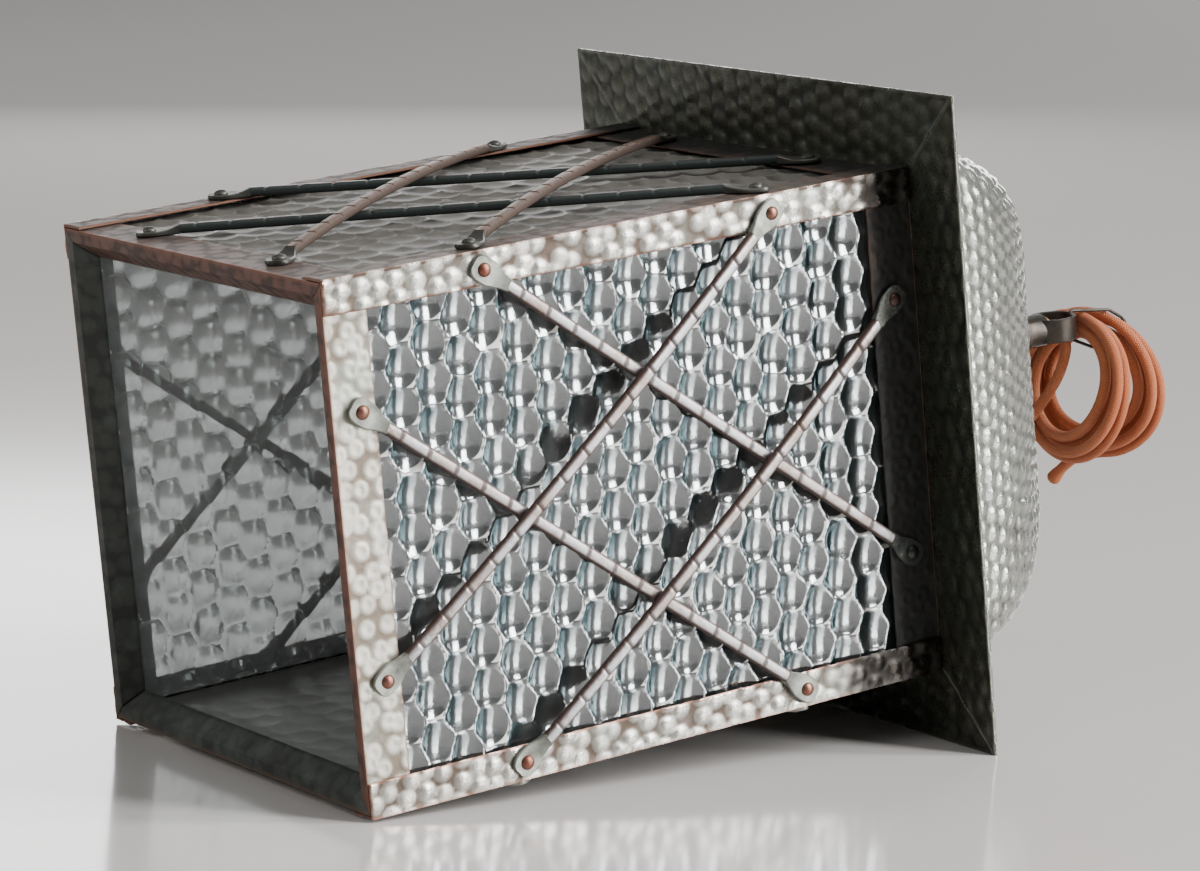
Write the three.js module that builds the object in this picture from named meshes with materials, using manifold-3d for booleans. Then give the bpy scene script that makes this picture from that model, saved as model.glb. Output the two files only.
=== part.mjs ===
// Lantern pendant light of hammered copper strip and glass, lying as it was put down.
// Millimetres, +Z up. The lantern's own axis is x, from its open end to its suspension ring.
import * as THREE from "three";
import { mergeVertices } from "three/addons/utils/BufferGeometryUtils.js";
import Module from "manifold-3d";

const wasm = await Module();
wasm.setup();

// Body
const bodyWidth = 200;
const bodyLength = 260.6;
const sheet = 1.0;
const seat = 0.3;
const postLeg = 13.5;

// End rails, folded channels that hold the glass
const openRailLeg = 18.3;
const brimRailLeg = 20.4;
const foldedLeg = 9.6;
const foldedLegSplay = 40;
const mitreGap = 0.2;

// Glass
const glassThickness = 3;

// Lattice bars
const barWidth = 4.8;
const barDepth = 3.6;
const tabWidth = 10;
const tabLength = 10;
const tabThickness = 1.8;
const tabTaper = 7;
const postRivetInset = 7.2;
const longRivetX = 66.5;
const endRivetX = 11.5;
const endRivetSpread = 50;
const rivetRadius = 2.75;
const rivetHeight = 1.6;
const archSteps = 10;

// Brim
const brimHalf = 129.3;
const brimThickness = 1.6;
const brimInnerHalf = 88;
const brimSeamOpening = 0.3;

// Dome
const domeHalf = 105;
const domeHeight = 92;
const domeWall = 1.5;
const domeSquareness = 10;
const domeRise = 1.95;
const domeShoulder = 2.5;
const domeRoundCrown = 0.4;
const domeAround = 40;
const domeRings = 11;
const curbHeight = 9;
const curbWall = 1.2;

// Stem and what it clamps
const stemRadius = 4.5;
const stemWall = 1.0;
const stemHeadOverhang = 1.1;
const stemHeadThickness = 1.2;
const stemTail = 3;
const crownWasherRadius = 17;
const innerWasherRadius = 14;
const washerThickness = 1.5;
const collarLength = 29;
const collarFootRadius = 11;
const collarWaistRadius = 6.6;
const collarTopRadius = 8.4;
const nutAcrossFlats = 15;
const nutThickness = 5;

// Suspension ring
const eyeRadius = 8.75;
const eyeWall = 1.5;
const eyeWidth = 10;
const shankRadius = 6.8;
const shankLength = 10.6;
const bushLip = 0.8;
const bushLipRadius = 4.6;
const bushSleeve = 9;

// Lampholder
const coverRadius = 17;
const coverWall = 2;
const coverNeckRadius = 10;
const coverNeckLength = 4;
const coverShoulder = 9;
const coverSkirt = 7;
const coverGrip = 6;
const shellLength = 36;
const shellWall = 2.2;
const shellFlangeWidth = 2.6;
const shellFlangeThickness = 1.6;
const shellFlangeDrop = 4;
const slotWidth = 2.6;
const slotDepth = 7;
const slotTurn = 40;
const blockThickness = 10;
const blockDrop = 2;
const plungerRadius = 2.1;
const plungerSunk = 8;
const plungerReach = 4.5;
const plungerSpacing = 10.6;
const shadeRingWidth = 7;
const shadeRingThickness = 5;

// Flex and its hank
const cordDiameter = 4.6;
const cordSides = 8;
const leadBend = 9.4;
const leadBendTurn = 98;
const leadBendSteps = 7;
const leadSteps = 34;
const tailSteps = 8;
const hankLayers = 4;
const hankTurnsPerLayer = 2;
const hankFirstTurn = 0.5;
const hankLastTurn = 8.25;
const hankRadius = 32;
const turnPitch = 5.2;
const turnSpread = 2.2;
const layerPitch = 5.2;
const layerSpread = 0.8;
const hankOpening = 16;
const hankOpenAt = -35;
const hankHeading = 14.7;
const hankDrop = 28.8;
const hankAside = 4;
const hankRingGap = 0.4;
const hankSteps = 24;
const hankSides = 6;
const tieWireRadius = 0.7;
const tieOffset = -4;
const tieReach = 1.5;
const tieSteps = 24;

// Worked out from the values above
const radians = Math.PI / 180;
const bodyHalf = bodyWidth / 2;
const railOuter = bodyHalf - sheet - seat;
const glassOuter = railOuter - sheet - seat;
const glassInner = glassOuter - glassThickness;
const brimUnder = bodyLength + seat;
const brimTop = brimUnder + brimThickness;
const domeBase = brimTop + seat;
const crown = domeBase + domeHeight;
const stemHole = stemRadius + seat;
const stemBore = stemRadius - stemWall;
const cordRadius = cordDiameter / 2;
const postRivetV = bodyHalf - postRivetInset;

// Places along the stem, going out from the crown
const crownWasherX = crown + seat;
const collarX = crownWasherX + washerThickness + seat;
const shankX = collarX + collarLength + seat;
const shankFace = shankX + shankLength;
const stemHeadX = shankFace + seat;
const stemTop = stemHeadX + stemHeadThickness;
const bushLipX = stemTop + seat;
const cordStart = bushLipX + bushLip + seat;
const eyeX = shankFace + Math.sqrt(eyeRadius ** 2 - shankRadius ** 2);
const ringEnd = eyeX + eyeRadius + eyeWall;

// Places along the stem, going in from the crown
const innerWasherX = domeX(innerWasherRadius, domeWall) - seat - washerThickness;
const nutX = innerWasherX - seat - nutThickness;
const coverTop = nutX - seat;
const coverNeckEnd = coverTop - coverNeckLength;
const coverShoulderEnd = coverNeckEnd - coverShoulder;
const coverEnd = coverShoulderEnd - coverSkirt;
const stemEnd = coverNeckEnd - stemTail;
const shellTop = coverEnd + coverGrip;
const shellOuter = coverRadius - coverWall - seat;
const shellInner = shellOuter - shellWall;
const shellEnd = shellTop - shellLength;
const flangeX = coverEnd - shellFlangeDrop;
const blockTop = shellTop - blockDrop;
const blockX = blockTop - blockThickness;

const copper = finish(0x5b4a3a, 0.5, 0.9);
const darkBronze = finish(0x2e2a22, 0.45, 0.9);
const paleHammered = finish(0xa8a79c, 0.4, 0.9);
const brimBrown = finish(0x24251f, 0.5, 0.8);
const brass = finish(0x9c8044, 0.35, 1.0);
const porcelain = finish(0xe6e1d3, 0.3, 0.0);
const glass = finish(0xcfd8d6, 0.08, 0.0);
const orangeFabric = finish(0xd9734a, 0.85, 0.0);

function finish(colour, roughness, metalness) {
  return new THREE.MeshStandardMaterial({ color: colour, roughness, metalness });
}

function piece(name, geometry, material) {
  const named = new THREE.Mesh(geometry, material);
  named.name = name;
  return named;
}

function closedMesh(positions, triangles) {
  const geometry = new THREE.BufferGeometry();
  geometry.setAttribute("position", new THREE.Float32BufferAttribute(positions, 3));
  geometry.setIndex(outward(positions, triangles));
  return geometry;
}

// Turns every triangle round if the volume that they enclose comes out negative
function outward(positions, triangles) {
  let volume = 0;
  const at = (i) => new THREE.Vector3(...positions.slice(3 * i, 3 * i + 3));
  for (let i = 0; i < triangles.length; i += 3) {
    volume += at(triangles[i]).dot(at(triangles[i + 1]).cross(at(triangles[i + 2])));
  }
  return volume < 0 ? triangles.toReversed() : triangles;
}

// A skin over rows of points, each row a ring: its ends are capped, or it closes on itself
function skin(rows, closed = false) {
  const around = rows[0].length;
  const triangles = [];
  const spans = closed ? rows.length : rows.length - 1;
  for (let i = 0; i < spans; i += 1) {
    const next = (i + 1) % rows.length;
    for (let j = 0; j < around; j += 1) {
      const k = (j + 1) % around;
      const [a, b] = [i * around + j, i * around + k];
      const [c, d] = [next * around + k, next * around + j];
      triangles.push(a, b, c, a, c, d);
    }
  }
  const last = (rows.length - 1) * around;
  for (let j = 1; j < around - 1 && !closed; j += 1) {
    triangles.push(0, j + 1, j, last, last + j, last + j + 1);
  }
  return closedMesh(rows.flat().flatMap((p) => [p.x, p.y, p.z]), triangles);
}

// A strip across a side, over a section of [x, height] points, with both ends mitred
function mitredStrip(section) {
  const contour = section.map(([x, z]) => new THREE.Vector2(x, z));
  const count = contour.length;
  const positions = [];
  for (const side of [-1, 1]) {
    for (const p of contour) {
      positions.push(p.x, side * (p.y - mitreGap), p.y);
    }
  }
  const triangles = [];
  const clockwise = THREE.ShapeUtils.isClockWise(contour);
  const caps = THREE.ShapeUtils.triangulateShape(clockwise ? contour.toReversed() : contour, []);
  const own = (i) => (clockwise ? count - 1 - i : i);
  for (const [a, b, c] of caps.map((cap) => cap.map(own))) {
    triangles.push(a, b, c, count + a, count + c, count + b);
  }
  for (let j = 0; j < count; j += 1) {
    const k = (j + 1) % count;
    const walls = [j, k, count + j, k, count + k, count + j];
    triangles.push(...(clockwise ? walls : walls.toReversed()));
  }
  return closedMesh(positions, triangles);
}

// A prism along x over an outline of [y, z] points
function prismAlongX(outline, from, to) {
  const shape = new THREE.Shape(outline.map(([y, z]) => new THREE.Vector2(y, z)));
  const geometry = new THREE.ExtrudeGeometry(shape, { depth: to - from, bevelEnabled: false });
  const [x, y, z] = [new THREE.Vector3(1, 0, 0), new THREE.Vector3(0, 1, 0), new THREE.Vector3(0, 0, 1)];
  geometry.applyMatrix4(new THREE.Matrix4().makeBasis(y, z, x));
  geometry.translate(from, 0, 0);
  return geometry;
}

// A turned piece about the x axis, over a closed profile of [radius, x] points
function turned(profile, segments = 20) {
  const ring = [...profile, profile[0]].map(([r, x]) => new THREE.Vector2(r, x));
  const flip = THREE.ShapeUtils.area(ring) < 0;
  const geometry = new THREE.LatheGeometry(flip ? ring.toReversed() : ring, segments);
  geometry.rotateZ(-Math.PI / 2);
  return geometry;
}

function washer(inner, outer, from, to, segments = 20) {
  return turned([[inner, from], [outer, from], [outer, to], [inner, to]], segments);
}

function rod(radius, from, to, segments = 20) {
  const geometry = new THREE.CylinderGeometry(radius, radius, to - from, segments);
  geometry.rotateZ(-Math.PI / 2);
  geometry.translate((from + to) / 2, 0, 0);
  return geometry;
}

function block(x0, x1, y0, y1, z0, z1) {
  const geometry = new THREE.BoxGeometry(x1 - x0, y1 - y0, z1 - z0);
  geometry.translate((x0 + x1) / 2, (y0 + y1) / 2, (z0 + z1) / 2);
  return geometry;
}

// Joins and cuts
function solid(geometry) {
  const bare = geometry.clone();
  bare.deleteAttribute("normal");
  bare.deleteAttribute("uv");
  const merged = mergeVertices(bare, 1e-4);
  const corners = merged.index.array;
  const kept = [];
  for (let i = 0; i < corners.length; i += 3) {
    const [a, b, c] = corners.slice(i, i + 3);
    if (a !== b && b !== c && c !== a) {
      kept.push(a, b, c);
    }
  }
  return new wasm.Manifold(new wasm.Mesh({
    numProp: 3,
    vertProperties: new Float32Array(merged.attributes.position.array),
    triVerts: new Uint32Array(kept),
  }));
}

function geometryOf(manifold) {
  const result = manifold.getMesh();
  const geometry = new THREE.BufferGeometry();
  geometry.setAttribute("position", new THREE.Float32BufferAttribute(result.vertProperties, 3));
  geometry.setIndex(Array.from(result.triVerts));
  return geometry;
}

// The body's four sides are alike. In a side's own frame z points out of it and y runs across.
function cornerPost() {
  const inner = bodyHalf - sheet;
  const edge = bodyHalf - postLeg;
  const outline = [
    [edge, inner], [inner, inner], [inner, edge], [bodyHalf, edge], [bodyHalf, bodyHalf], [edge, bodyHalf],
  ];
  return prismAlongX(outline, 0, bodyLength);
}

// Folded channel: outer leg, lip across the pane's edge, and inner leg splayed off the glass
function channel(outerLeg) {
  const [along, down] = [Math.cos(foldedLegSplay * radians), Math.sin(foldedLegSplay * radians)];
  const fold = glassInner - seat;
  const tip = [sheet + foldedLeg * along, fold - foldedLeg * down];
  const underTip = [tip[0] - sheet * down, tip[1] - sheet * along];
  const lipEdge = underTip[1] + underTip[0] * (down / along);
  return [
    [0, railOuter], [outerLeg, railOuter], [outerLeg, railOuter - sheet],
    [sheet, railOuter - sheet], [sheet, fold], tip, underTip, [0, lipEdge],
  ];
}

function brimRail() {
  return mitredStrip(channel(brimRailLeg).map(([x, z]) => [bodyLength - x, z]));
}

function glassPane() {
  const half = glassInner - seat;
  const clear = sheet + seat;
  return block(clear, bodyLength - clear, -half, half, glassInner, glassOuter);
}

// Lattice bars, given as two rivets at [x, y]; the end rails lie lower than the posts
function tabHeight([x]) {
  const onPost = x >= longRivetX && x <= bodyLength - longRivetX;
  return (onPost ? bodyHalf : railOuter) + seat;
}

function barRivets(side) {
  const [farPost, farEnd] = [bodyLength - longRivetX, bodyLength - endRivetX];
  return [
    [[longRivetX, side * postRivetV], [farEnd, -side * endRivetSpread]],
    [[endRivetX, side * endRivetSpread], [farPost, -side * postRivetV]],
  ];
}

function crossing([p, q], [r, s]) {
  const [ux, uy, vx, vy] = [q[0] - p[0], q[1] - p[1], s[0] - r[0], s[1] - r[1]];
  return ((r[0] - p[0]) * vy - (r[1] - p[1]) * vx) / (ux * vy - uy * vx);
}

// An arched bar clears the low bar beneath it even at that bar's nearer edge
function archRise(bar, lowBars) {
  const span = Math.hypot(bar[1][0] - bar[0][0], bar[1][1] - bar[0][1]);
  const between = span - tabLength;
  const slant = Math.abs(Math.atan2(bar[1][1] - bar[0][1], bar[1][0] - bar[0][0]));
  const edge = barWidth / 2 / Math.sin(2 * slant) + barWidth / 2 / Math.tan(2 * slant);
  const shares = lowBars.map((low) => {
    const near = 0.5 - Math.abs(crossing(bar, low) - 0.5);
    const share = (near * span - tabLength / 2 - edge) / between;
    return 4 * share * (1 - share);
  });
  return (barDepth + seat) / Math.min(...shares);
}

function barGeometry([from, to], rise) {
  const run = new THREE.Vector2(to[0] - from[0], to[1] - from[1]);
  const span = run.length();
  run.normalize();
  const halfTab = tabLength / 2;
  const [heightA, heightB] = [tabHeight(from), tabHeight(to)];
  const [first, last] = [halfTab + tabTaper, span - halfTab - tabTaper];
  const stations = [[-halfTab, tabWidth, tabThickness], [halfTab, tabWidth, tabThickness]];
  const steps = rise > 0 ? archSteps : 1;
  for (let i = 0; i <= steps; i += 1) {
    stations.push([first + ((last - first) * i) / steps, barWidth, barDepth]);
  }
  stations.push([span - halfTab, tabWidth, tabThickness], [span + halfTab, tabWidth, tabThickness]);
  const rows = stations.map(([t, width, depth]) => {
    const share = THREE.MathUtils.clamp((t - halfTab) / (span - tabLength), 0, 1);
    const low = heightA + (heightB - heightA) * share + rise * 4 * share * (1 - share);
    return [[-1, low], [1, low], [1, low + depth], [-1, low + depth]].map(([side, z]) => (
      new THREE.Vector3(
        from[0] + run.x * t - (run.y * side * width) / 2,
        from[1] + run.y * t + (run.x * side * width) / 2,
        z,
      )));
  });
  return skin(rows);
}

// A rivet's head, sunk a little into its tab so that the two are one
function rivetHead([x, y], tabTop) {
  const sunk = tabThickness / 4;
  const profile = [[0, -sunk], [rivetRadius, -sunk], [rivetRadius, rivetHeight * 0.35]];
  profile.push([rivetRadius * 0.7, rivetHeight * 0.85], [0, rivetHeight]);
  const head = new THREE.LatheGeometry(profile.map(([r, h]) => new THREE.Vector2(r, h)), 8);
  head.rotateX(Math.PI / 2);
  head.translate(x, y, tabTop);
  return head;
}

function latticeBar(bar, rise) {
  let whole = solid(barGeometry(bar, rise));
  for (const rivet of bar) {
    whole = whole.add(solid(rivetHead(rivet, tabHeight(rivet) + tabThickness)));
  }
  return geometryOf(whole);
}

function brimPanel() {
  const inner = brimInnerHalf - mitreGap;
  const outer = brimHalf - mitreGap - brimSeamOpening;
  const outline = [[-inner, brimInnerHalf], [inner, brimInnerHalf], [outer, brimHalf], [-outer, brimHalf]];
  return prismAlongX(outline, brimUnder, brimTop);
}

// Dome: a rounded square in plan that turns round towards its crown
function domeX(radius, inset) {
  const share = (radius / (domeHalf - inset)) ** domeShoulder;
  return domeBase + (domeHeight - inset) * (1 - share) ** (1 / domeRise);
}

function squareRing(x, half, squareness) {
  const ring = [];
  for (let j = 0; j < domeAround; j += 1) {
    const angle = (2 * Math.PI * j) / domeAround;
    const [c, s] = [Math.cos(angle), Math.sin(angle)];
    const power = 2 / squareness;
    const y = half * Math.sign(c) * Math.abs(c) ** power;
    const z = half * Math.sign(s) * Math.abs(s) ** power;
    ring.push(new THREE.Vector3(x, Math.abs(c) < 1e-9 ? 0 : y, Math.abs(s) < 1e-9 ? 0 : z));
  }
  return ring;
}

function domeRows(inset) {
  const half = domeHalf - inset;
  const last = Math.acos((stemHole / half) ** (domeShoulder / 2));
  const rows = [];
  for (let i = 0; i <= domeRings; i += 1) {
    const share = Math.cos((last * i) / domeRings) ** (2 / domeShoulder);
    const square = THREE.MathUtils.smoothstep(share, stemHole / half, domeRoundCrown);
    rows.push(squareRing(domeX(half * share, inset), half * share, 2 + (domeSquareness - 2) * square));
  }
  return rows;
}

function dome() {
  return skin([...domeRows(0), ...domeRows(domeWall).reverse()], true);
}

function domeCurb() {
  const inside = domeHalf - domeWall;
  const share = (1 - (curbHeight / (domeHeight - domeWall)) ** domeRise) ** (1 / domeShoulder);
  const outer = inside * share - seat;
  const inner = outer - curbWall;
  const [low, high] = [domeBase, domeBase + curbHeight];
  const rows = [[low, outer], [high, outer], [high, inner], [low, inner]];
  return skin(rows.map(([x, half]) => squareRing(x, half, domeSquareness)), true);
}

// Stem, collar and lock nut
function stem() {
  const head = stemRadius + stemHeadOverhang;
  return turned([
    [stemBore, stemEnd], [stemRadius, stemEnd], [stemRadius, stemHeadX],
    [head, stemHeadX], [head, stemTop], [stemBore, stemTop],
  ]);
}

function collar() {
  const at = (share) => collarX + collarLength * share;
  return turned([
    [stemHole, at(0)], [collarFootRadius, at(0)], [collarFootRadius, at(0.1)],
    [collarFootRadius * 0.8, at(0.28)], [collarWaistRadius, at(0.5)], [collarWaistRadius, at(0.78)],
    [collarTopRadius, at(0.88)], [collarTopRadius, at(1)], [stemHole, at(1)],
  ]);
}

function lockNut() {
  const corners = nutAcrossFlats / 2 / Math.cos(Math.PI / 6);
  const hexagon = solid(rod(corners, nutX, nutX + nutThickness, 6));
  return geometryOf(hexagon.subtract(solid(rod(stemHole, nutX - 1, nutX + nutThickness + 1))));
}

// Suspension ring: a band standing on a shank that is bored for the stem
function suspensionRing() {
  const upright = (radius, height) => {
    const geometry = new THREE.CylinderGeometry(radius, radius, height, 32);
    geometry.rotateX(Math.PI / 2);
    geometry.translate(eyeX, 0, 0);
    return solid(geometry);
  };
  const band = upright(eyeRadius + eyeWall, eyeWidth).subtract(upright(eyeRadius, eyeWidth + 2));
  const shank = solid(rod(shankRadius, shankX, shankFace));
  const bore = solid(rod(stemHole, shankX - 1, shankFace + 1));
  return geometryOf(band.add(shank).subtract(bore));
}

function stemBush() {
  const [inner, sleeve] = [cordRadius + seat, stemBore - seat];
  return turned([
    [inner, bushLipX - bushSleeve], [sleeve, bushLipX - bushSleeve], [sleeve, bushLipX],
    [bushLipRadius, bushLipX], [bushLipRadius, bushLipX + bushLip], [inner, bushLipX + bushLip],
  ]);
}

// Lampholder
function lampholderCover() {
  const inside = coverRadius - coverWall;
  return turned([
    [stemHole, coverTop], [coverNeckRadius, coverTop], [coverNeckRadius, coverNeckEnd],
    [coverRadius, coverShoulderEnd], [coverRadius, coverEnd], [inside, coverEnd],
    [inside, coverShoulderEnd], [coverNeckRadius - coverWall, coverNeckEnd - coverWall / 2],
    [stemHole, coverNeckEnd - coverWall / 2],
  ]);
}

// The shell is slotted at its mouth for a bulb's two pins
function lampholderShell() {
  const flange = shellOuter + shellFlangeWidth;
  let shell = solid(turned([
    [shellInner, shellEnd], [shellOuter, shellEnd], [shellOuter, flangeX],
    [flange, flangeX], [flange, flangeX + shellFlangeThickness],
    [shellOuter, flangeX + shellFlangeThickness], [shellOuter, shellTop], [shellInner, shellTop],
  ], 28));
  const reach = shellOuter + 1;
  const half = slotWidth / 2;
  for (const side of [0, Math.PI]) {
    const entry = block(shellEnd - 1, shellEnd + slotDepth, -half, half, shellInner - 1, reach);
    entry.rotateX(side);
    shell = shell.subtract(solid(entry));
    const hook = block(shellEnd + slotDepth - slotWidth, shellEnd + slotDepth, -half, half, shellInner - 1, reach);
    for (let turn = 0.25; turn <= 1; turn += 0.25) {
      const step = hook.clone();
      step.rotateX(side + slotTurn * turn * radians * 0.5);
      shell = shell.subtract(solid(step));
    }
  }
  return geometryOf(shell);
}

function contactBlock() {
  let whole = solid(rod(shellInner - seat, blockX, blockTop, 24));
  for (const side of [-1, 1]) {
    const hole = rod(plungerRadius + seat, blockX - 1, blockTop + 1, 14);
    hole.translate(0, (side * plungerSpacing) / 2, 0);
    whole = whole.subtract(solid(hole));
  }
  return geometryOf(whole);
}

function plunger(side) {
  const geometry = rod(plungerRadius, blockX - plungerReach, blockX + plungerSunk, 14);
  geometry.translate(0, (side * plungerSpacing) / 2, 0);
  return geometry;
}

function shadeRing() {
  const inner = shellOuter + seat;
  return washer(inner, inner + shadeRingWidth, flangeX - seat - shadeRingThickness, flangeX - seat, 28);
}

// How far the lantern tips when it lies on its brim and on the lattice beneath it
function restingTilt(sideGeometries) {
  let tilt = Math.PI / 2;
  for (const geometry of sideGeometries) {
    const at = geometry.attributes.position;
    for (let i = 0; i < at.count; i += 1) {
      tilt = Math.min(tilt, Math.atan2(brimHalf - at.getZ(i), brimUnder - at.getX(i)));
    }
  }
  return tilt;
}

// Flex: one tube swept along points, its section carried along without twist
function sweep(points, radius, sides, closed = false) {
  const count = points.length;
  const tangentAt = (i) => {
    const before = closed ? points[(i + count - 1) % count] : points[Math.max(i - 1, 0)];
    const after = closed ? points[(i + 1) % count] : points[Math.min(i + 1, count - 1)];
    return after.clone().sub(before).normalize();
  };
  const across = new THREE.Vector3().crossVectors(tangentAt(0), new THREE.Vector3(0.31, 0.2, 0.93));
  const rows = points.map((point, i) => {
    const tangent = tangentAt(i);
    across.addScaledVector(tangent, -across.dot(tangent)).normalize();
    const over = new THREE.Vector3().crossVectors(tangent, across);
    return Array.from({ length: sides }, (_, j) => {
      const angle = (2 * Math.PI * j) / sides;
      const spoke = across.clone().multiplyScalar(Math.cos(angle)).addScaledVector(over, Math.sin(angle));
      return point.clone().addScaledVector(spoke, radius);
    });
  });
  return skin(rows, closed);
}

// The hank hangs from the ring: its turns lie close at the top and spread towards the bottom
function hankFrame(tilt) {
  const heading = hankHeading * radians;
  const upright = new THREE.Vector3(Math.sin(tilt), 0, Math.cos(tilt));
  const level = new THREE.Vector3(Math.cos(tilt), 0, -Math.sin(tilt));
  const near = new THREE.Vector3(0, -1, 0);
  const axis = level.clone().multiplyScalar(Math.cos(heading)).addScaledVector(near, -Math.sin(heading));
  const right = near.clone().multiplyScalar(Math.cos(heading)).addScaledVector(level, Math.sin(heading));
  const front = ((hankLayers - 1) / 2) * layerPitch + cordRadius;
  const centre = new THREE.Vector3(ringEnd + hankRingGap + front / Math.cos(heading), hankAside, 0);
  centre.addScaledVector(upright, -hankDrop);
  const at = (across, up, depth) => centre.clone()
    .addScaledVector(right, across).addScaledVector(upright, up).addScaledVector(axis, depth);
  return { at, centre };
}

// Turns are counted from the hank's near side, so the first one starts half a turn on, at the far side.
// The spiral reverses there too, where each layer climbs to the next in half a turn.
function hankClimb(turn, reversal) {
  const at = reversal * hankTurnsPerLayer + hankFirstTurn;
  return THREE.MathUtils.smoothstep(turn, at - 0.25, at + 0.25);
}

function hankInset(turn) {
  const phase = (turn - hankFirstTurn) % (2 * hankTurnsPerLayer);
  return hankTurnsPerLayer - Math.abs(phase - hankTurnsPerLayer);
}

// Depth along the hank's axis: layers, and a wider opening between its two pairs of layers
function hankDepth(turn, spread) {
  let layer = -(hankLayers - 1) / 2;
  for (let reversal = 1; reversal < hankLayers; reversal += 1) {
    layer += hankClimb(turn, reversal);
  }
  const half = hankClimb(turn, hankLayers / 2) - 0.5;
  return layer * (layerPitch + layerSpread * spread) + half * hankOpening * spread;
}

function hankPoint(frame, turn) {
  const angle = -2 * Math.PI * turn;
  const spread = ((1 + Math.cos(angle - hankOpenAt * radians)) / 2) ** 2;
  const radius = hankRadius - hankInset(turn) * (turnPitch + turnSpread * spread);
  return frame.at(radius * Math.cos(angle), radius * Math.sin(angle), hankDepth(turn, spread));
}

function hankPoints(frame) {
  const wound = hankLastTurn - hankFirstTurn;
  const count = Math.round(wound * hankSteps);
  const points = [];
  for (let i = 0; i <= count; i += 1) {
    points.push(hankPoint(frame, hankFirstTurn + (wound * i) / count));
  }
  const straight = (end, inside) => end.clone().sub(inside).setLength(cordDiameter).add(end);
  points.unshift(straight(points[0], points[1]));
  points.push(straight(points.at(-1), points.at(-2)));
  return points;
}

// Least gap between the hank's surface and itself, half a turn or more along
function leastGap(points) {
  let least = Infinity;
  for (let i = 0; i < points.length; i += 1) {
    for (let j = i + hankSteps / 2; j < points.length - 1; j += 1) {
      const line = new THREE.Line3(points[j], points[j + 1]);
      const foot = line.closestPointToPoint(points[i], true, new THREE.Vector3());
      least = Math.min(least, foot.distanceTo(points[i]));
    }
  }
  return least - cordDiameter;
}

// Route of the free lead, out of the stem, down through the eye, under it and up the hank's far side
function leadPoints(hankStart) {
  const throughEye = Array.from({ length: leadBendSteps + 1 }, (_, i) => {
    const angle = (leadBendTurn * radians * i) / leadBendSteps;
    return [leadBend * Math.sin(angle), 0, leadBend * (Math.cos(angle) - 1)];
  });
  const toFarSide = [
    [6.9, 1.9, -20.2], [3.2, 6.6, -29.9], [-0.1, 12.7, -38.4], [-1.5, 18.9, -44],
    [-0.9, 23.6, -45.6], [0.1, 27.9, -45], [1.5, 31.5, -42.6], [2.8, 33.7, -38.8],
  ];
  const route = [...throughEye, ...toFarSide].map(([x, y, z]) => new THREE.Vector3(cordStart + x, y, z));
  const [end, next] = hankStart;
  const arriving = next.clone().sub(end).normalize();
  route.push(end.clone().addScaledVector(arriving, -seat - cordRadius));
  route.push(end.clone().addScaledVector(arriving, -seat));
  return route;
}

function tailPoints(hankEnd, frame) {
  const [before, end] = hankEnd;
  const leaving = end.clone().sub(before).normalize();
  const start = end.clone().addScaledVector(leaving, seat);
  const route = [start, start.clone().addScaledVector(leaving, cordRadius)];
  const droop = frame.at(0, 0, 0).negate();
  for (const [across, up, depth] of [[-7, -2.2, 0], [-14, -7.5, 0], [-20, -14, 0]]) {
    route.push(frame.at(across, up, depth).add(droop).add(start));
  }
  return route;
}

function freeCord(points, steps) {
  const path = new THREE.CatmullRomCurve3(points, false, "centripetal");
  const section = new THREE.Shape();
  for (let j = 0; j < cordSides; j += 1) {
    const angle = (2 * Math.PI * j) / cordSides;
    const corner = [cordRadius * Math.cos(angle), cordRadius * Math.sin(angle)];
    if (j === 0) {
      section.moveTo(...corner);
    } else {
      section.lineTo(...corner);
    }
  }
  return new THREE.ExtrudeGeometry(section, { steps, extrudePath: path, curveSegments: 1 });
}

// Places where the top of the hank passes the tie, close by on either side of it
function tiedTurns(hank, centre) {
  const places = [];
  for (const level of [tieOffset - tieReach, tieOffset + tieReach]) {
    for (let i = 1; i < hank.length; i += 1) {
      const [from, to] = [hank[i - 1], hank[i]];
      if ((from.y - level) * (to.y - level) <= 0 && from.z > centre.z) {
        places.push(from.clone().lerp(to, (level - from.y) / (to.y - from.y)));
      }
    }
  }
  return places;
}

// Wire tie, drawn close round the ring's end wall and the top of the hank
function tieWire(hank, centre) {
  const clear = seat + tieWireRadius;
  const wallX = (radius) => eyeX + Math.sqrt(radius ** 2 - tieOffset ** 2);
  const held = tiedTurns(hank, centre).map((p) => [p.x, p.z, cordRadius + clear]);
  for (const z of [-eyeWidth / 2, eyeWidth / 2]) {
    held.push([wallX(eyeRadius), z, wallX(eyeRadius) - wallX(eyeRadius - clear)]);
    held.push([wallX(eyeRadius + eyeWall), z, clear]);
  }
  const points = Array.from({ length: tieSteps }, (_, i) => {
    const angle = (2 * Math.PI * i) / tieSteps;
    const [c, s] = [Math.cos(angle), Math.sin(angle)];
    const reach = ([x, z, around]) => x * c + z * s + around;
    const [x, z, around] = held.reduce((far, place) => (reach(place) > reach(far) ? place : far));
    return new THREE.Vector3(x + around * c, tieOffset, z + around * s);
  });
  return sweep(points, tieWireRadius, 6, true);
}

// Assembly
const model = new THREE.Group();
const lantern = new THREE.Group();
model.add(lantern);

const lowBars = barRivets(1);
const archedBars = barRivets(-1);
const rise = Math.max(...archedBars.map((bar) => archRise(bar, lowBars)));
const bars = [
  ...lowBars.map((bar) => latticeBar(bar, 0)),
  ...archedBars.map((bar) => latticeBar(bar, rise)),
];
const tilt = restingTilt([...bars, cornerPost()]);
lantern.rotation.y = -tilt;

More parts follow.
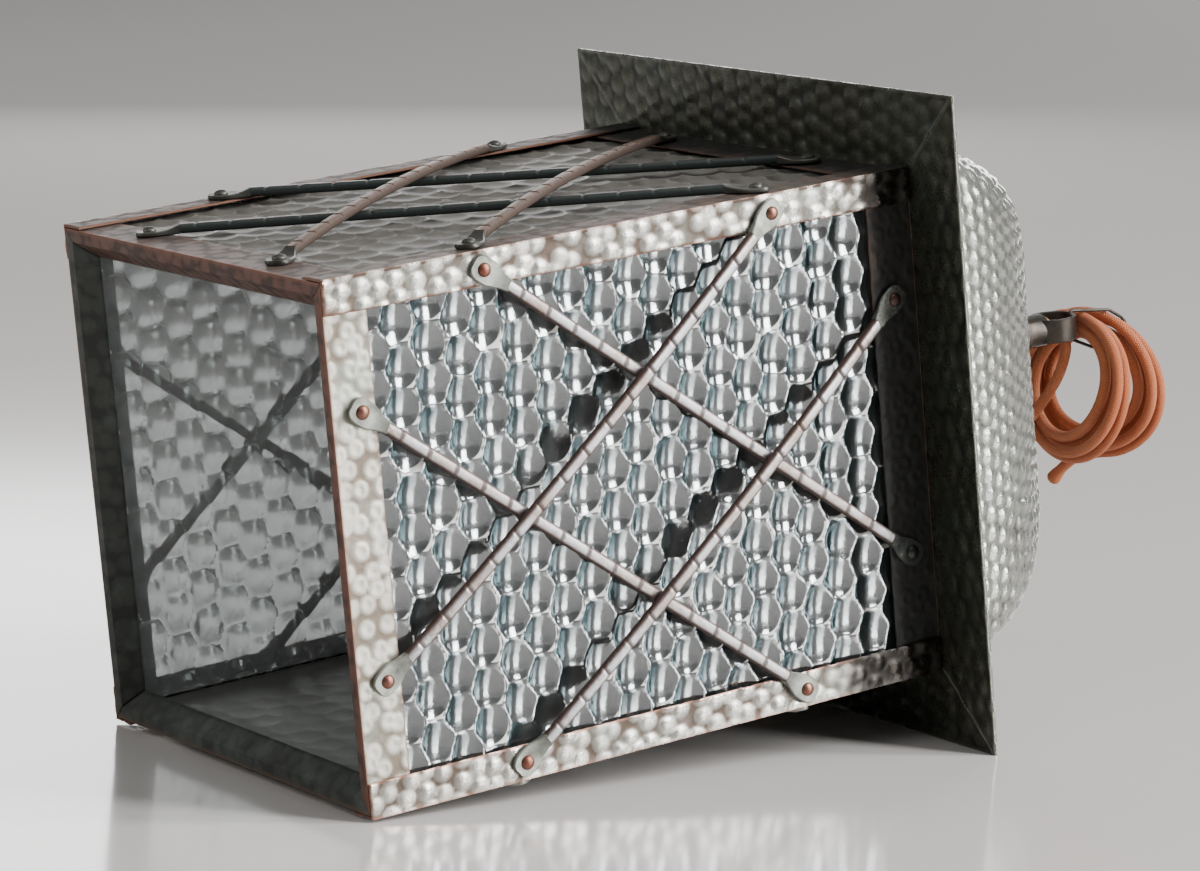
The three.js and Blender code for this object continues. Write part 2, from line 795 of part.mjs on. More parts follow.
const sideNames = ["top", "front", "bottom", "back"];
const postNames = ["back_top", "front_top", "front_bottom", "back_bottom"];
const barNames = ["low_a", "low_b", "arched_a", "arched_b"];
sideNames.forEach((name, quarter) => {
  const side = new THREE.Group();
  side.rotation.x = (quarter * Math.PI) / 2;
  lantern.add(side);
  side.add(piece(`corner_post_${postNames[quarter]}`, cornerPost(), paleHammered));
  side.add(piece(`open_end_rail_${name}`, mitredStrip(channel(openRailLeg)), paleHammered));
  side.add(piece(`brim_end_rail_${name}`, brimRail(), copper));
  side.add(piece(`glass_pane_${name}`, glassPane(), glass));
  bars.forEach((bar, i) => side.add(piece(`lattice_bar_${name}_${barNames[i]}`, bar, copper)));
  side.add(piece(`brim_panel_${name}`, brimPanel(), brimBrown));
});

lantern.add(piece("dome", dome(), paleHammered));
lantern.add(piece("dome_curb", domeCurb(), copper));
lantern.add(piece("crown_washer", washer(stemHole, crownWasherRadius, crownWasherX,
  crownWasherX + washerThickness), darkBronze));
lantern.add(piece("stem_collar", collar(), darkBronze));
lantern.add(piece("stem", stem(), brass));
lantern.add(piece("inner_washer", washer(stemHole, innerWasherRadius, innerWasherX,
  innerWasherX + washerThickness), brass));
lantern.add(piece("lock_nut", lockNut(), brass));
lantern.add(piece("suspension_ring", suspensionRing(), darkBronze));
lantern.add(piece("stem_bush", stemBush(), porcelain));
lantern.add(piece("lampholder_cover", lampholderCover(), brass));
lantern.add(piece("lampholder_shell", lampholderShell(), brass));
lantern.add(piece("contact_block", contactBlock(), porcelain));
lantern.add(piece("contact_plunger_front", plunger(-1), brass));
lantern.add(piece("contact_plunger_back", plunger(1), brass));
lantern.add(piece("shade_ring", shadeRing(), brass));
lantern.add(piece("inner_lead", rod(cordRadius, blockTop + seat, cordStart - seat, 10), orangeFabric));

const standing = new THREE.Box3().setFromObject(lantern, true);
model.position.set(
  -(standing.min.x + standing.max.x) / 2,
  -(standing.min.y + standing.max.y) / 2,
  -standing.min.z,
);

const frame = hankFrame(tilt);
const hank = hankPoints(frame);
lantern.add(piece("cord_lead", freeCord(leadPoints(hank), leadSteps), orangeFabric));
lantern.add(piece("cord_hank", sweep(hank, cordRadius, hankSides), orangeFabric));
lantern.add(piece("cord_tail", freeCord(tailPoints(hank.slice(-2), frame), tailSteps), orangeFabric));
lantern.add(piece("hank_tie", tieWire(hank, frame.centre), darkBronze));

console.log(`hank: least gap to itself ${leastGap(hank).toFixed(2)} mm`);
console.log(`lantern: tilt ${(tilt / radians).toFixed(4)} degrees, moved ${model.position.toArray()}`);

export default model;
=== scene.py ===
"""Lantern pendant light: hammered strip, dimpled glass, riveted lattice, brim, dome and a hank of flex."""
import logging
import math
from dataclasses import asdict, dataclass
from enum import Enum
from functools import lru_cache
from typing import Any, Callable, Iterable, Sequence

import bpy
import numpy as np
from mathutils import Matrix, Vector


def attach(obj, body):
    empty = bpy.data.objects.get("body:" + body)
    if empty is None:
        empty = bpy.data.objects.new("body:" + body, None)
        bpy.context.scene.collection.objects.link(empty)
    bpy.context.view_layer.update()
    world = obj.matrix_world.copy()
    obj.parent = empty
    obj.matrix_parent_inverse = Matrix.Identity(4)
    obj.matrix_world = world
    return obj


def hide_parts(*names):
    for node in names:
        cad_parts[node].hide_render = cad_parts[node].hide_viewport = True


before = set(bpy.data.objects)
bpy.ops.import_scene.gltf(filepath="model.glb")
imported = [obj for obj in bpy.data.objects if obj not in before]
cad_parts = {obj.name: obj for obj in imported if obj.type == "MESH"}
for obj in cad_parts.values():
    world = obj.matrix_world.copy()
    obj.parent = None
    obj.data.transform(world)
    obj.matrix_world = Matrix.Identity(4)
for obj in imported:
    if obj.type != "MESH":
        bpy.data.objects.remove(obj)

log = logging.getLogger("lantern")
Pair = tuple[float, float]
Triple = tuple[float, float, float]
Colour = Triple
Inputs = dict[str | int, Any]
Mesh = bpy.types.Mesh
Thing = bpy.types.Object
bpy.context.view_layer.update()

MM = 0.001
FULL_TURN = 2 * math.pi

# Sizes in millimetres that several classes share
BODY_LENGTH = 260.6
BODY_HALF = 100.0
RAIL_TOP = 98.7
STEM_BORE = 4.8
NIP = 0.3


class Side(Enum):
    """The body's four sides, in quarter turns about the lantern's own axis."""

    TOP = 0
    FRONT = 1
    BOTTOM = 2
    BACK = 3

    @property
    def word(self) -> str:
        """Gives the side's name as the CAD nodes have it."""
        return self.name.lower()


@dataclass(frozen=True)
class Lie:
    """How the lantern lies, from its own millimetres to the row's metres."""

    tilt: float = math.radians(6.1561)
    moved: Triple = (-199.995, 0.0, 100.576)

    def matrix(self, quarter: int = 0) -> Matrix:
        """Gives the matrix from the millimetres of a side, in quarter turns, to the row's metres."""
        turned_so = Matrix.Rotation(-self.tilt, 4, "Y") @ Matrix.Rotation(quarter * math.pi / 2, 4, "X")
        return Matrix.Scale(MM, 4) @ Matrix.Translation(self.moved) @ turned_so

    def point(self, place: Iterable[float]) -> Vector:
        """Gives a point of the lantern's own frame in the row's metres."""
        return self.matrix() @ Vector(place)


LIE = Lie()


def arithmetic(operation: str, reflected: bool = False) -> Callable[["Wire", Any], "Wire"]:
    """Makes an operator that adds a maths node.

    Args:
        operation: the node's operation.
        reflected: True where the wire is the second operand.

    Returns:
        The operator's method.
    """
    def apply(self: "Wire", other: Any) -> "Wire":
        """Adds the node for this wire and another wire or number."""
        return self.graph.maths(operation, *((other, self) if reflected else (self, other)))

    return apply


class Wire:
    """A node's output, with the usual arithmetic; each expression adds its own maths nodes."""

    def __init__(self, graph: "Graph", socket: bpy.types.NodeSocket) -> None:
        """Keeps the socket and the graph it belongs to."""
        self.graph, self.socket = graph, socket

    __add__ = __radd__ = arithmetic("ADD")
    __mul__ = __rmul__ = arithmetic("MULTIPLY")
    __sub__, __rsub__ = arithmetic("SUBTRACT"), arithmetic("SUBTRACT", True)
    __truediv__, __pow__ = arithmetic("DIVIDE"), arithmetic("POWER")
    __mod__ = arithmetic("FLOORED_MODULO")

    def clamp(self) -> "Wire":
        """Keeps the value from 0 to 1."""
        return self.graph.maths("MINIMUM", self.graph.maths("MAXIMUM", self, 0.0), 1.0)

    def swing(self, amount: float) -> "Wire":
        """Turns noise of 0 to 1 into as much lift as drop."""
        return (self - 0.5) * amount


class Graph:
    """A node tree being wired up, for a material or for geometry."""

    def __init__(self, tree: bpy.types.NodeTree) -> None:
        """Keeps the tree."""
        self.tree = tree

    def node(self, kind: str, inputs: Inputs | None = None, **settings: Any) -> bpy.types.Node:
        """Adds a node.

        Args:
            kind: the node's type.
            inputs: a value or wire for each socket, by name or number.
            settings: the node's own settings, set before its sockets.

        Returns:
            The node.
        """
        made = self.tree.nodes.new(kind)
        for name, value in settings.items():
            if name == "stops":
                self.fill_ramp(made, value)
            else:
                setattr(made, name, value)
        for name, value in (inputs or {}).items():
            if isinstance(value, Wire):
                self.tree.links.new(value.socket, made.inputs[name])
            else:
                made.inputs[name].default_value = value
        return made

    @staticmethod
    def fill_ramp(ramp: bpy.types.Node, stops: Sequence[Pair]) -> None:
        """Gives a colour ramp its stops.

        Args:
            ramp: the node.
            stops: its grey stops, as (place, value).
        """
        elements = ramp.color_ramp.elements
        while len(elements) < len(stops):
            elements.new(0.5)
        for element, (place, value) in zip(elements, stops):
            element.position = place
            element.color = (value, value, value, 1.0)

    def wire(self, kind: str, inputs: Inputs | None = None, output: str | int = 0, **settings: Any) -> Wire:
        """Adds a node, as above, and gives its output of a name or number."""
        return Wire(self, self.node(kind, inputs, **settings).outputs[output])

    def maths(self, operation: str, first: Any, second: Any = 0.0) -> Wire:
        """Adds a maths node on two values."""
        return self.wire("ShaderNodeMath", {0: first, 1: second}, operation=operation)

    def vectors(self, operation: str, first: Any, second: Any) -> Wire:
        """Adds a maths node on two vectors."""
        return self.wire("ShaderNodeVectorMath", {0: first, 1: second}, operation=operation)

    def combined(self, x: Any = 0.0, y: Any = 0.0, z: Any = 0.0) -> Wire:
        """Makes a vector of three values."""
        return self.wire("ShaderNodeCombineXYZ", {"X": x, "Y": y, "Z": z})

    def split(self, vector: Wire) -> list[Wire]:
        """Gives a vector's three values."""
        return [Wire(self, output) for output in self.node("ShaderNodeSeparateXYZ", {0: vector}).outputs]


class Shader(Graph):
    """A material being wired up."""

    def __init__(self, name: str) -> None:
        """Starts an empty material.

        Args:
            name: the material's name.
        """
        self.material = bpy.data.materials.new(name)
        self.material.use_nodes = True
        self.material.node_tree.nodes.clear()
        super().__init__(self.material.node_tree)

    def place(self) -> Wire:
        """Gives the place on the piece, in metres."""
        return self.wire("ShaderNodeTexCoord", output="Object")

    def note(self, name: str, output: str = "Fac") -> Wire:
        """Gives a value, or a vector, that the mesh carries at each vertex."""
        return self.wire("ShaderNodeAttribute", output=output, attribute_name=name)

    def noise(self, cells: float, detail: float = 3.0, roughness: float = 0.55) -> Wire:
        """Gives soft noise, 0 to 1, with so many cells to the metre."""
        inputs = {"Vector": self.place(), "Scale": cells, "Detail": detail, "Roughness": roughness}
        return self.wire("ShaderNodeTexNoise", inputs)

    def ramp(self, value: Wire, *stops: Pair) -> Wire:
        """Maps a value through stops of (place, value)."""
        return self.wire("ShaderNodeValToRGB", {0: value}, stops=stops)

    def mixed(self, share: Wire, first: Any, second: Any) -> Wire:
        """Mixes two colours, each a colour or a wire."""
        full = [(*c, 1.0) if isinstance(c, tuple) else c for c in (first, second)]
        return self.wire("ShaderNodeMix", {0: share, 6: full[0], 7: full[1]}, 2, data_type="RGBA")

    def bump(self, height: Wire, distance: float) -> Wire:
        """Gives the normal over a height of 0 to 1 that stands for a distance in metres."""
        return self.wire("ShaderNodeBump", {"Height": height, "Distance": distance, "Strength": 1.0})

    def brim_shadowed(self, colour: Wire, start: float, brim_shadow: Colour, uneven: Wire) -> Wire:
        """Darkens a colour towards the brim: a painted shadow of the brim.

        Args:
            colour: the clean colour.
            start: where the painted shadow starts, in metres along the row.
            brim_shadow: the painted shadow's colour.
            uneven: noise that breaks up where it starts.

        Returns:
            The colour with its painted shadow.
        """
        along = self.split(self.place())[0]
        return self.mixed(((along - start) * 60.0 + uneven.swing(1.6)).clamp(), colour, brim_shadow)

    def principled(self, inputs: Inputs) -> Wire:
        """Adds a Principled shader with a value or wire for each of its sockets."""
        return self.wire("ShaderNodeBsdfPrincipled", inputs)


@dataclass(frozen=True)
class Finish:
    """A material that is wired up once and then shared."""

    name: str

    @lru_cache(maxsize=None)
    def build(self) -> bpy.types.Material:
        """Wires the material up when it is first asked for.

        Returns:
            The material.
        """
        s = Shader(self.name)
        s.node("ShaderNodeOutputMaterial", {"Surface": self.surface(s)})
        return s.material

    def surface(self, s: Shader) -> Wire:
        """Wires up the surface, in each finish's own way."""
        raise NotImplementedError


@dataclass(frozen=True)
class HammeredMetal(Finish):
    """Hammered copper sheet: worn crests, patina in the hollows, bright edges and a green bloom."""

    crest: Colour
    hollow: Colour
    edge: Colour
    bloom: Colour
    patina: float = 0.5
    blooming: float = 0.25
    crest_roughness: float = 0.26
    hollow_roughness: float = 0.55
    crest_metal: float = 0.9
    hollow_metal: float = 0.55
    # brim_shadow_from and soot: a painted shadow of the brim, darker towards the brim.
    brim_shadow_from: float = 9.0
    brim_shadow: Colour = (0.03, 0.026, 0.022)
    copper_to: float = -9.0
    bloom_cells: float = 38.0
    blotch_cells: float = 55.0
    grain_cells: float = 520.0
    grain_depth: float = 0.00012

    def surface(self, s: Shader) -> Wire:
        """Wires up the hammered surface.

        Args:
            s: the material being wired up.

        Returns:
            The surface.
        """
        blotch = s.noise(self.blotch_cells, 4.0)
        fine = s.noise(self.grain_cells, 4.0, 0.65)
        patina = ((s.note("hollow") ** 2.2) * 1.1 + blotch.swing(1.5) + (self.patina - 0.45)).clamp()
        colour = s.mixed(patina, self.crest, self.hollow)
        bloom = s.ramp(s.noise(self.bloom_cells, 5.0, 0.6), (0.5, 0.0), (0.72, 1.0)) * self.blooming
        colour = s.mixed(bloom, colour, self.bloom)
        bare = ((self.copper_to - s.split(s.place())[0]) * 30.0 + blotch.swing(2.2)).clamp() * 0.75
        colour = s.mixed(bare, colour, self.edge)
        edge = (s.note("edge") * (0.35 + fine * 1.1)).clamp()
        colour = s.brim_shadowed(s.mixed(edge, colour, self.edge), self.brim_shadow_from, self.brim_shadow, blotch)
        rough = self.crest_roughness + patina * (self.hollow_roughness - self.crest_roughness)
        metal = self.crest_metal + (patina + bloom).clamp() * (self.hollow_metal - self.crest_metal)
        return s.principled({
            "Base Color": colour, "Metallic": metal, "Roughness": (rough + fine.swing(0.22)).clamp(),
            "Normal": s.bump(fine, self.grain_depth)})


@dataclass(frozen=True)
class DimpledGlass(Finish):
    """Rolled glass, a little green: lenses with a silvery, smoky outer face, painted shade on one side of
    each cell and a painted highlight on the moulded rims.
    """

    name: str = "dimpled_glass"
    tint: Colour = (0.93, 0.97, 0.965)
    deep: Colour = (0.80, 0.87, 0.87)
    silver: Colour = (0.31, 0.325, 0.33)
    # shade: the colour of the painted shade on one side of each cell.
    shade: Colour = (0.022, 0.046, 0.054)
    # rim: the colour of the painted highlight along the cells' borders.
    rim: Colour = (0.80, 0.80, 0.74)
    frost: Colour = (0.70, 0.72, 0.71)
    roughness: float = 0.07
    polish: float = 0.05
    frosting: float = 0.25
    metal: float = 0.95
    index: float = 1.5
    haze_inside: float = 0.3
    haze_outside: float = 0.76
    rim_at: float = 0.465
    rim_blend: float = 0.03
    rim_roughness: float = 0.35
    cell_stretch: float = 1.18
    blotch_cells: float = 75.0
    ripple_cells: float = 240.0
    ripple_depth: float = 0.00008

    def surface(self, s: Shader) -> Wire:
        """Wires up clear glass, its silvery face with painted shade in each cell, and the painted highlight
        on its rims, mixed by place.

        Args:
            s: the material being wired up.

        Returns:
            The surface.
        """
        fine, blotch = s.noise(self.ripple_cells), s.noise(self.blotch_cells, 4.0)
        outside = s.note("outside")
        right, up, _ = s.split(s.note("offset", "Vector"))
        bump = s.bump(fine, self.ripple_depth)
        rough = (self.roughness + (blotch - 0.45).clamp() * 0.25 + s.note("edge") * 0.25).clamp()
        clear = s.principled({
            "Base Color": s.mixed(s.note("hollow") * 0.6, self.tint, self.deep), "Transmission Weight": 1.0,
            "IOR": self.index, "Metallic": 0.0, "Roughness": rough, "Normal": bump})
        # Painted shade: the silver darkens towards one side of each cell, by the offset from its centre.
        painted_cell_shade = (((right * -1.0 + up * 0.45) * 2.3 + 0.05).clamp() + blotch.swing(1.3)).clamp()
        silvery = s.principled({
            "Base Color": s.mixed(outside, self.frost, s.mixed(painted_cell_shade, self.silver, self.shade)),
            "Metallic": outside * self.metal, "Normal": bump,
            "Roughness": self.polish + self.frosting - outside * self.frosting + blotch * 0.09})
        rim = s.principled({"Base Color": (*self.rim, 1.0), "Roughness": self.rim_roughness, "Normal": bump})
        haze = self.haze_inside + outside * (self.haze_outside - self.haze_inside)
        mixed = s.wire("ShaderNodeMixShader", {0: haze, 1: clear, 2: silvery})
        # Painted highlight: a pale line near each cell's border, on its right and lower sides only.
        across = right / self.cell_stretch
        off_centre = s.maths("SQRT", across * across + up * up)
        line = ((off_centre - self.rim_at) / self.rim_blend).clamp()
        highlight_side = ((right - up * 0.6) * 1.6 + 0.12).clamp()
        pale = (line * highlight_side * outside * (0.55 + blotch * 0.7)).clamp()
        return s.wire("ShaderNodeMixShader", {0: pale, 1: mixed, 2: rim})


@dataclass(frozen=True)
class WornBar(Finish):
    """Drawn copper bar: grey worn top, brown sides that are partly painted shade, red copper where it is
    rubbed.
    """

    worn: Colour
    side: Colour
    rubbed: Colour
    roughness: float
    # brim_shadow_from and soot: a painted shadow of the brim, darker towards the brim.
    brim_shadow_from: float = 0.035
    brim_shadow: Colour = (0.05, 0.06, 0.058)
    blotch_cells: float = 60.0
    grain_cells: float = 700.0
    grain_depth: float = 0.00015

    def surface(self, s: Shader) -> Wire:
        """Wires up the worn surface.

        Args:
            s: the material being wired up.

        Returns:
            The surface.
        """
        blotch, fine = s.noise(self.blotch_cells, 4.0), s.noise(self.grain_cells, 4.0, 0.6)
        top = (s.note("top") * 1.15 - fine.swing(0.7)).clamp()
        worn = s.mixed(s.ramp(blotch, (0.42, 0.0), (0.66, 1.0)), self.worn, self.rubbed)
        return s.principled({
            "Base Color": s.brim_shadowed(s.mixed(top, self.side, worn), self.brim_shadow_from, self.brim_shadow, blotch),
            "Metallic": 0.45 + top * 0.5, "Normal": s.bump(fine, self.grain_depth),
            "Roughness": (self.roughness + (1.0 - top) * 0.2 + fine.swing(0.2)).clamp()})


@dataclass(frozen=True)
class SmoothMetal(Finish):
    """Turned or drawn metal with light tarnish."""

    bright: Colour
    tarnish: Colour
    tarnished: float
    roughness: float
    metal: float = 0.95
    # brim_shadow_from and soot: a painted shadow of the brim, darker towards the brim.
    brim_shadow_from: float = 9.0
    brim_shadow: Colour = (0.05, 0.055, 0.05)
    tarnish_cells: float = 130.0
    grain_cells: float = 900.0
    grain_depth: float = 0.00005

    def surface(self, s: Shader) -> Wire:
        """Wires up the tarnished surface.

        Args:
            s: the material being wired up.

        Returns:
            The surface.
        """
        fine = s.noise(self.grain_cells)
        tarnish = (s.noise(self.tarnish_cells, 5.0, 0.62).swing(2.4) + self.tarnished).clamp()
        colour = s.mixed(tarnish, self.bright, self.tarnish)
        return s.principled({
            "Base Color": s.brim_shadowed(colour, self.brim_shadow_from, self.brim_shadow, fine), "Metallic": self.metal,
            "Roughness": (self.roughness + tarnish * 0.22 + fine.swing(0.16)).clamp(),
            "Normal": s.bump(fine, self.grain_depth)})


@dataclass(frozen=True)
class GlazedWare(Finish):
    """Glazed porcelain with a faint mottle."""

    name: str = "glazed_porcelain"
    body: Colour = (0.86, 0.84, 0.77)
    shade: Colour = (0.74, 0.70, 0.60)
    mottle_cells: float = 220.0
    mottle_depth: float = 0.00006

    def surface(self, s: Shader) -> Wire:
        """Wires up the glazed surface."""
        mottle = s.noise(self.mottle_cells, 4.0)
        return s.principled({
            "Base Color": s.mixed(mottle, self.body, self.shade), "Roughness": 0.12 + mottle * 0.16,
            "Coat Weight": 0.5, "Normal": s.bump(mottle, self.mottle_depth)})


@dataclass(frozen=True)
class BraidedFabric(Finish):
    """Matt braided cover: two crossing sets of yarns in one colour, with painted shade towards each yarn's
    edges.
    """

    name: str = "braided_fabric"
    yarn: Colour = (0.66, 0.165, 0.055)
    shade: Colour = (0.20, 0.038, 0.012)
    fluff: Colour = (0.80, 0.33, 0.16)
    picks: float = 8.0
    lay: float = 0.0085
    fuzz_cells: float = 1500.0
    wear_cells: float = 45.0
    yarn_depth: float = 0.0006

    def surface(self, s: Shader) -> Wire:
        """Wires up the braid on the cord's own map.

        Args:
            s: the material being wired up.

        Returns:
            The surface.
        """
        metres, share, _ = s.split(s.wire("ShaderNodeUVMap", uv_map="route"))
        along, around = metres * (self.picks / self.lay), share * self.picks
        left, right = (((way % 1.0) - 0.5) * 2.0 for way in (along + around, along - around))
        over = s.maths("LESS_THAN", (along % 1.0 - 0.5) * (around % 1.0 - 0.5), 0.0)
        yarn = (1.0 - left * left) * over + (1.0 - right * right) * (1.0 - over)
        fuzz, wear = s.noise(self.fuzz_cells, 3.0, 0.7), s.noise(self.wear_cells)
        # Painted shade: each yarn darkens to the shade colour towards its edges, between its neighbours.
        colour = s.mixed((yarn * 0.85 + fuzz.swing(0.5)).clamp(), self.shade, self.yarn)
        return s.principled({
            "Base Color": s.mixed((fuzz * wear * 0.9).clamp(), colour, self.fluff), "Roughness": 0.9,
            "Sheen Weight": 0.1, "Sheen Roughness": 0.5, "Specular IOR Level": 0.2,
            "Normal": s.bump(yarn * 0.7 + fuzz * 0.3, self.yarn_depth)})


@dataclass(frozen=True)
class PaleFloor(Finish):
    """Plain pale floor, a little glossy."""

    name: str = "pale_floor"
    colour: Colour = (0.60, 0.575, 0.555)
    roughness: float = 0.12

    def surface(self, s: Shader) -> Wire:
        """Wires up the one colour."""
        return s.principled({"Base Color": (*self.colour, 1.0), "Roughness": self.roughness})


def spaced(start: float, end: float, step: float, nip: float = 0.0) -> np.ndarray:
    """Divides a length evenly, with one narrow step at each end where a nip is given.

    Args:
        start: where the length starts.
        end: where it ends.
        step: about how long each step is.
        nip: the narrow end step, or 0 for none.

    Returns:
        The places, from start to end.
    """
    way = math.copysign(1.0, end - start)
    low, high = start + way * nip, end - way * nip
    inner = np.linspace(low, high, max(2, round(abs(high - low) / step) + 1))
    return np.concatenate([[start], inner, [end]]) if nip else inner


def gridded(x: Any, y: Any, z: Any) -> np.ndarray:
    """Stretches three arrays or numbers over each other, into one array of vectors."""
    return np.stack(np.broadcast_arrays(x, y, z), axis=-1)


def ramped(distance: Any, width: float) -> Any:
    """Gives how far along a width a distance is, 0 to 1."""
    return np.clip(distance / width, 0, 1)


def inset_of(rows: np.ndarray, columns: np.ndarray) -> np.ndarray:
    """Gives how far each point of a grid is from the grid's nearest border."""
    over, across = (np.minimum(line - line[0], line[-1] - line) for line in (rows, columns))
    return np.minimum(over[:, None], across)


def run_along(points: np.ndarray) -> np.ndarray:
    """Gives how far along a line each of its points is."""
    return np.concatenate([[0], np.cumsum(np.linalg.norm(np.diff(points, axis=0), axis=1))])


def unit(vector: np.ndarray) -> np.ndarray:
    """Gives a vector's way, one long."""
    return vector / np.linalg.norm(vector)


def eased(share: float) -> float:
    """Keeps a share from 0 to 1, and starts and stops it softly."""
    share = min(1.0, max(0.0, share))
    return share * share * (3 - 2 * share)


def make_mesh(points: Any, faces: Sequence[Sequence[int]], notes: dict[str, Any] | None = None,
              edges: Sequence = ()) -> Mesh:
    """Makes a mesh with values at its vertices.

    Args:
        points: one row of three for each vertex.
        faces: the vertices of each face.
        notes: a value or vector for each vertex, by name.
        edges: pairs of vertices joined by a loose edge.

    Returns:
        The mesh.
    """
    mesh = bpy.data.meshes.new("made")
    mesh.from_pydata(np.asarray(points).tolist(), list(edges), faces)
    for note, values in (notes or {}).items():
        values = np.asarray(values, np.float32)
        kind, slot = ("FLOAT_VECTOR", "vector") if values.ndim == 2 else ("FLOAT", "value")
        mesh.attributes.new(note, kind, "POINT").data.foreach_set(slot, values.ravel())
    return mesh


def linked(name: str, data: Any) -> Thing:
    """Puts a mesh, a camera or a light in the scene.

    Args:
        name: the object's name.
        data: the mesh, camera or light.

    Returns:
        The object.
    """
    made = bpy.data.objects.new(name, data)
    bpy.context.scene.collection.objects.link(made)
    return made


def evaluated(whole: Thing, *tools: Thing) -> Mesh:
    """Makes a plain mesh of an object with its modifiers, and removes the object.

    Args:
        whole: the object.
        tools: objects that its modifiers use, removed as well.

    Returns:
        The mesh.
    """
    graph = bpy.context.evaluated_depsgraph_get()
    made = bpy.data.meshes.new_from_object(
        whole.evaluated_get(graph), preserve_all_data_layers=True, depsgraph=graph)
    for spent in (whole, *tools):
        bpy.data.objects.remove(spent)
    return made


def quads(*corners: np.ndarray) -> np.ndarray:
    """Makes four-sided faces of four arrays of vertex numbers."""
    return np.stack(corners, axis=-1).reshape(-1, 4)


def outward(points: np.ndarray, faces: np.ndarray) -> np.ndarray:
    """Turns four-sided faces round where the volume inside them comes out below 0.

    Args:
        points: the vertices.
        faces: the vertices of each face.

    Returns:
        The faces, looking outward.
    """
    a, b, c, d = (points[faces[:, k]] for k in range(4))
    volume = (a * np.cross(b, c)).sum() + (a * np.cross(c, d)).sum()
    return faces[:, ::-1] if volume < 0 else faces


@dataclass
class Sheet:
    """A thin sheet between two grids of points, with what the hammering and the finish read.

    "blow" is the way and the strength that a vertex moves by for one millimetre, "beat" the
    place that the pattern is read at, and "edge" how bare the sheet's borders are.
    """

    outer: np.ndarray
    inner: np.ndarray
    blow: np.ndarray
    beat: np.ndarray
    edge: np.ndarray
    blow_inside: float = 0.0
    edge_inside: float = 1.0
    is_round: bool = False
    edge_cut: float = 0.22

    def mesh(self) -> Mesh:
        """Closes the sheet, with a share of the thickness cut off at each edge.

        Returns:
            The mesh.
        """
        rows, columns = self.outer.shape[:2]
        outer, inner = self.outer.copy(), self.inner.copy()
        rims = [(0, slice(None)), (-1, slice(None))]
        rims += [] if self.is_round else [(slice(1, -1), 0), (slice(1, -1), -1)]
        for rim in rims:
            top, under = outer[rim].copy(), inner[rim].copy()
            outer[rim] = top + (under - top) * self.edge_cut
            inner[rim] = under + (top - under) * self.edge_cut
        total = rows * columns
        index = np.arange(total).reshape(rows, columns)
        wide = np.concatenate([index, index[:, :1]], axis=1) if self.is_round else index
        face = quads(wide[:-1, :-1], wide[:-1, 1:], wide[1:, 1:], wide[1:, :-1])
        lines = [wide[0, :], wide[-1, ::-1]] + ([] if self.is_round else [wide[::-1, 0], wide[:, -1]])
        walls = [quads(p[:-1], p[:-1] + total, p[1:] + total, p[1:]) for p in lines]
        points = np.concatenate([outer.reshape(-1, 3), inner.reshape(-1, 3)])
        faces = outward(points, np.concatenate([face, face[:, ::-1] + total, *walls]))
        blow, beat, edge = self.blow.reshape(-1, 3), self.beat.reshape(-1, 3), self.edge.reshape(-1)
        return make_mesh(points, faces.tolist(), {
            "blow": np.concatenate([blow, blow * self.blow_inside]), "beat": np.concatenate([beat, beat]),
            "edge": np.concatenate([edge, edge * self.edge_inside]), "outside": np.repeat([1.0, 0.0], total)})


def tube_profile(inner: float, outer: float, start: float, end: float) -> list[Pair]:
    """Gives the section of a plain tube, as (radius, x)."""
    return [(inner, start), (outer, start), (outer, end), (inner, end)]


def chamfered(profile: Sequence[Pair], ease: float) -> list[Pair]:
    """Cuts each corner of a closed profile back.

    Args:
        profile: the corners, as (radius, x).
        ease: how far each corner is cut back.

    Returns:
        The profile with two points for each corner.
    """
    corners = [np.array(p, float) for p in profile]
    made = []
    for k, corner in enumerate(corners):
        for other in (corners[k - 1], corners[(k + 1) % len(corners)]):
            way = other - corner
            length = float(np.linalg.norm(way))
            made.append(tuple(corner + way / length * min(ease, 0.4 * length)))
    return made


def turned(profile: Sequence[Pair], segments: int, ease: float = 0.35,
           waves: tuple[int, float] = (0, 0.0)) -> Mesh:
    """Turns a closed profile about the lantern's axis.

    Args:
        profile: points of (radius, x) round the section, every radius above 0.
        segments: the number of steps round the axis.
        ease: how far each corner is cut back, or 0 for sharp corners.
        waves: how many ribs stand round the outermost radius, and how deep they are.

    Returns:
        The mesh, in the lantern's millimetres.
    """
    section = np.array(chamfered(profile, ease) if ease else profile)
    angles = np.linspace(0, FULL_TURN, segments, endpoint=False)
    radii = np.tile(section[:, 0], (segments, 1))
    if waves[0]:
        outermost = section[:, 0] > section[:, 0].max() - 0.05
        radii[:, outermost] -= waves[1] * (0.5 - 0.5 * np.cos(angles * waves[0]))[:, None]
    y, z = (radii * wave(angles)[:, None] for wave in (np.cos, np.sin))
    points = gridded(section[:, 1], y, z).reshape(-1, 3)
    index = np.arange(segments * len(section)).reshape(segments, len(section))
    right, down = np.roll(index, -1, axis=1), np.roll(index, -1, axis=0)
    faces = quads(index, right, np.roll(right, -1, axis=0), down)
    return make_mesh(points, outward(points, faces).tolist())


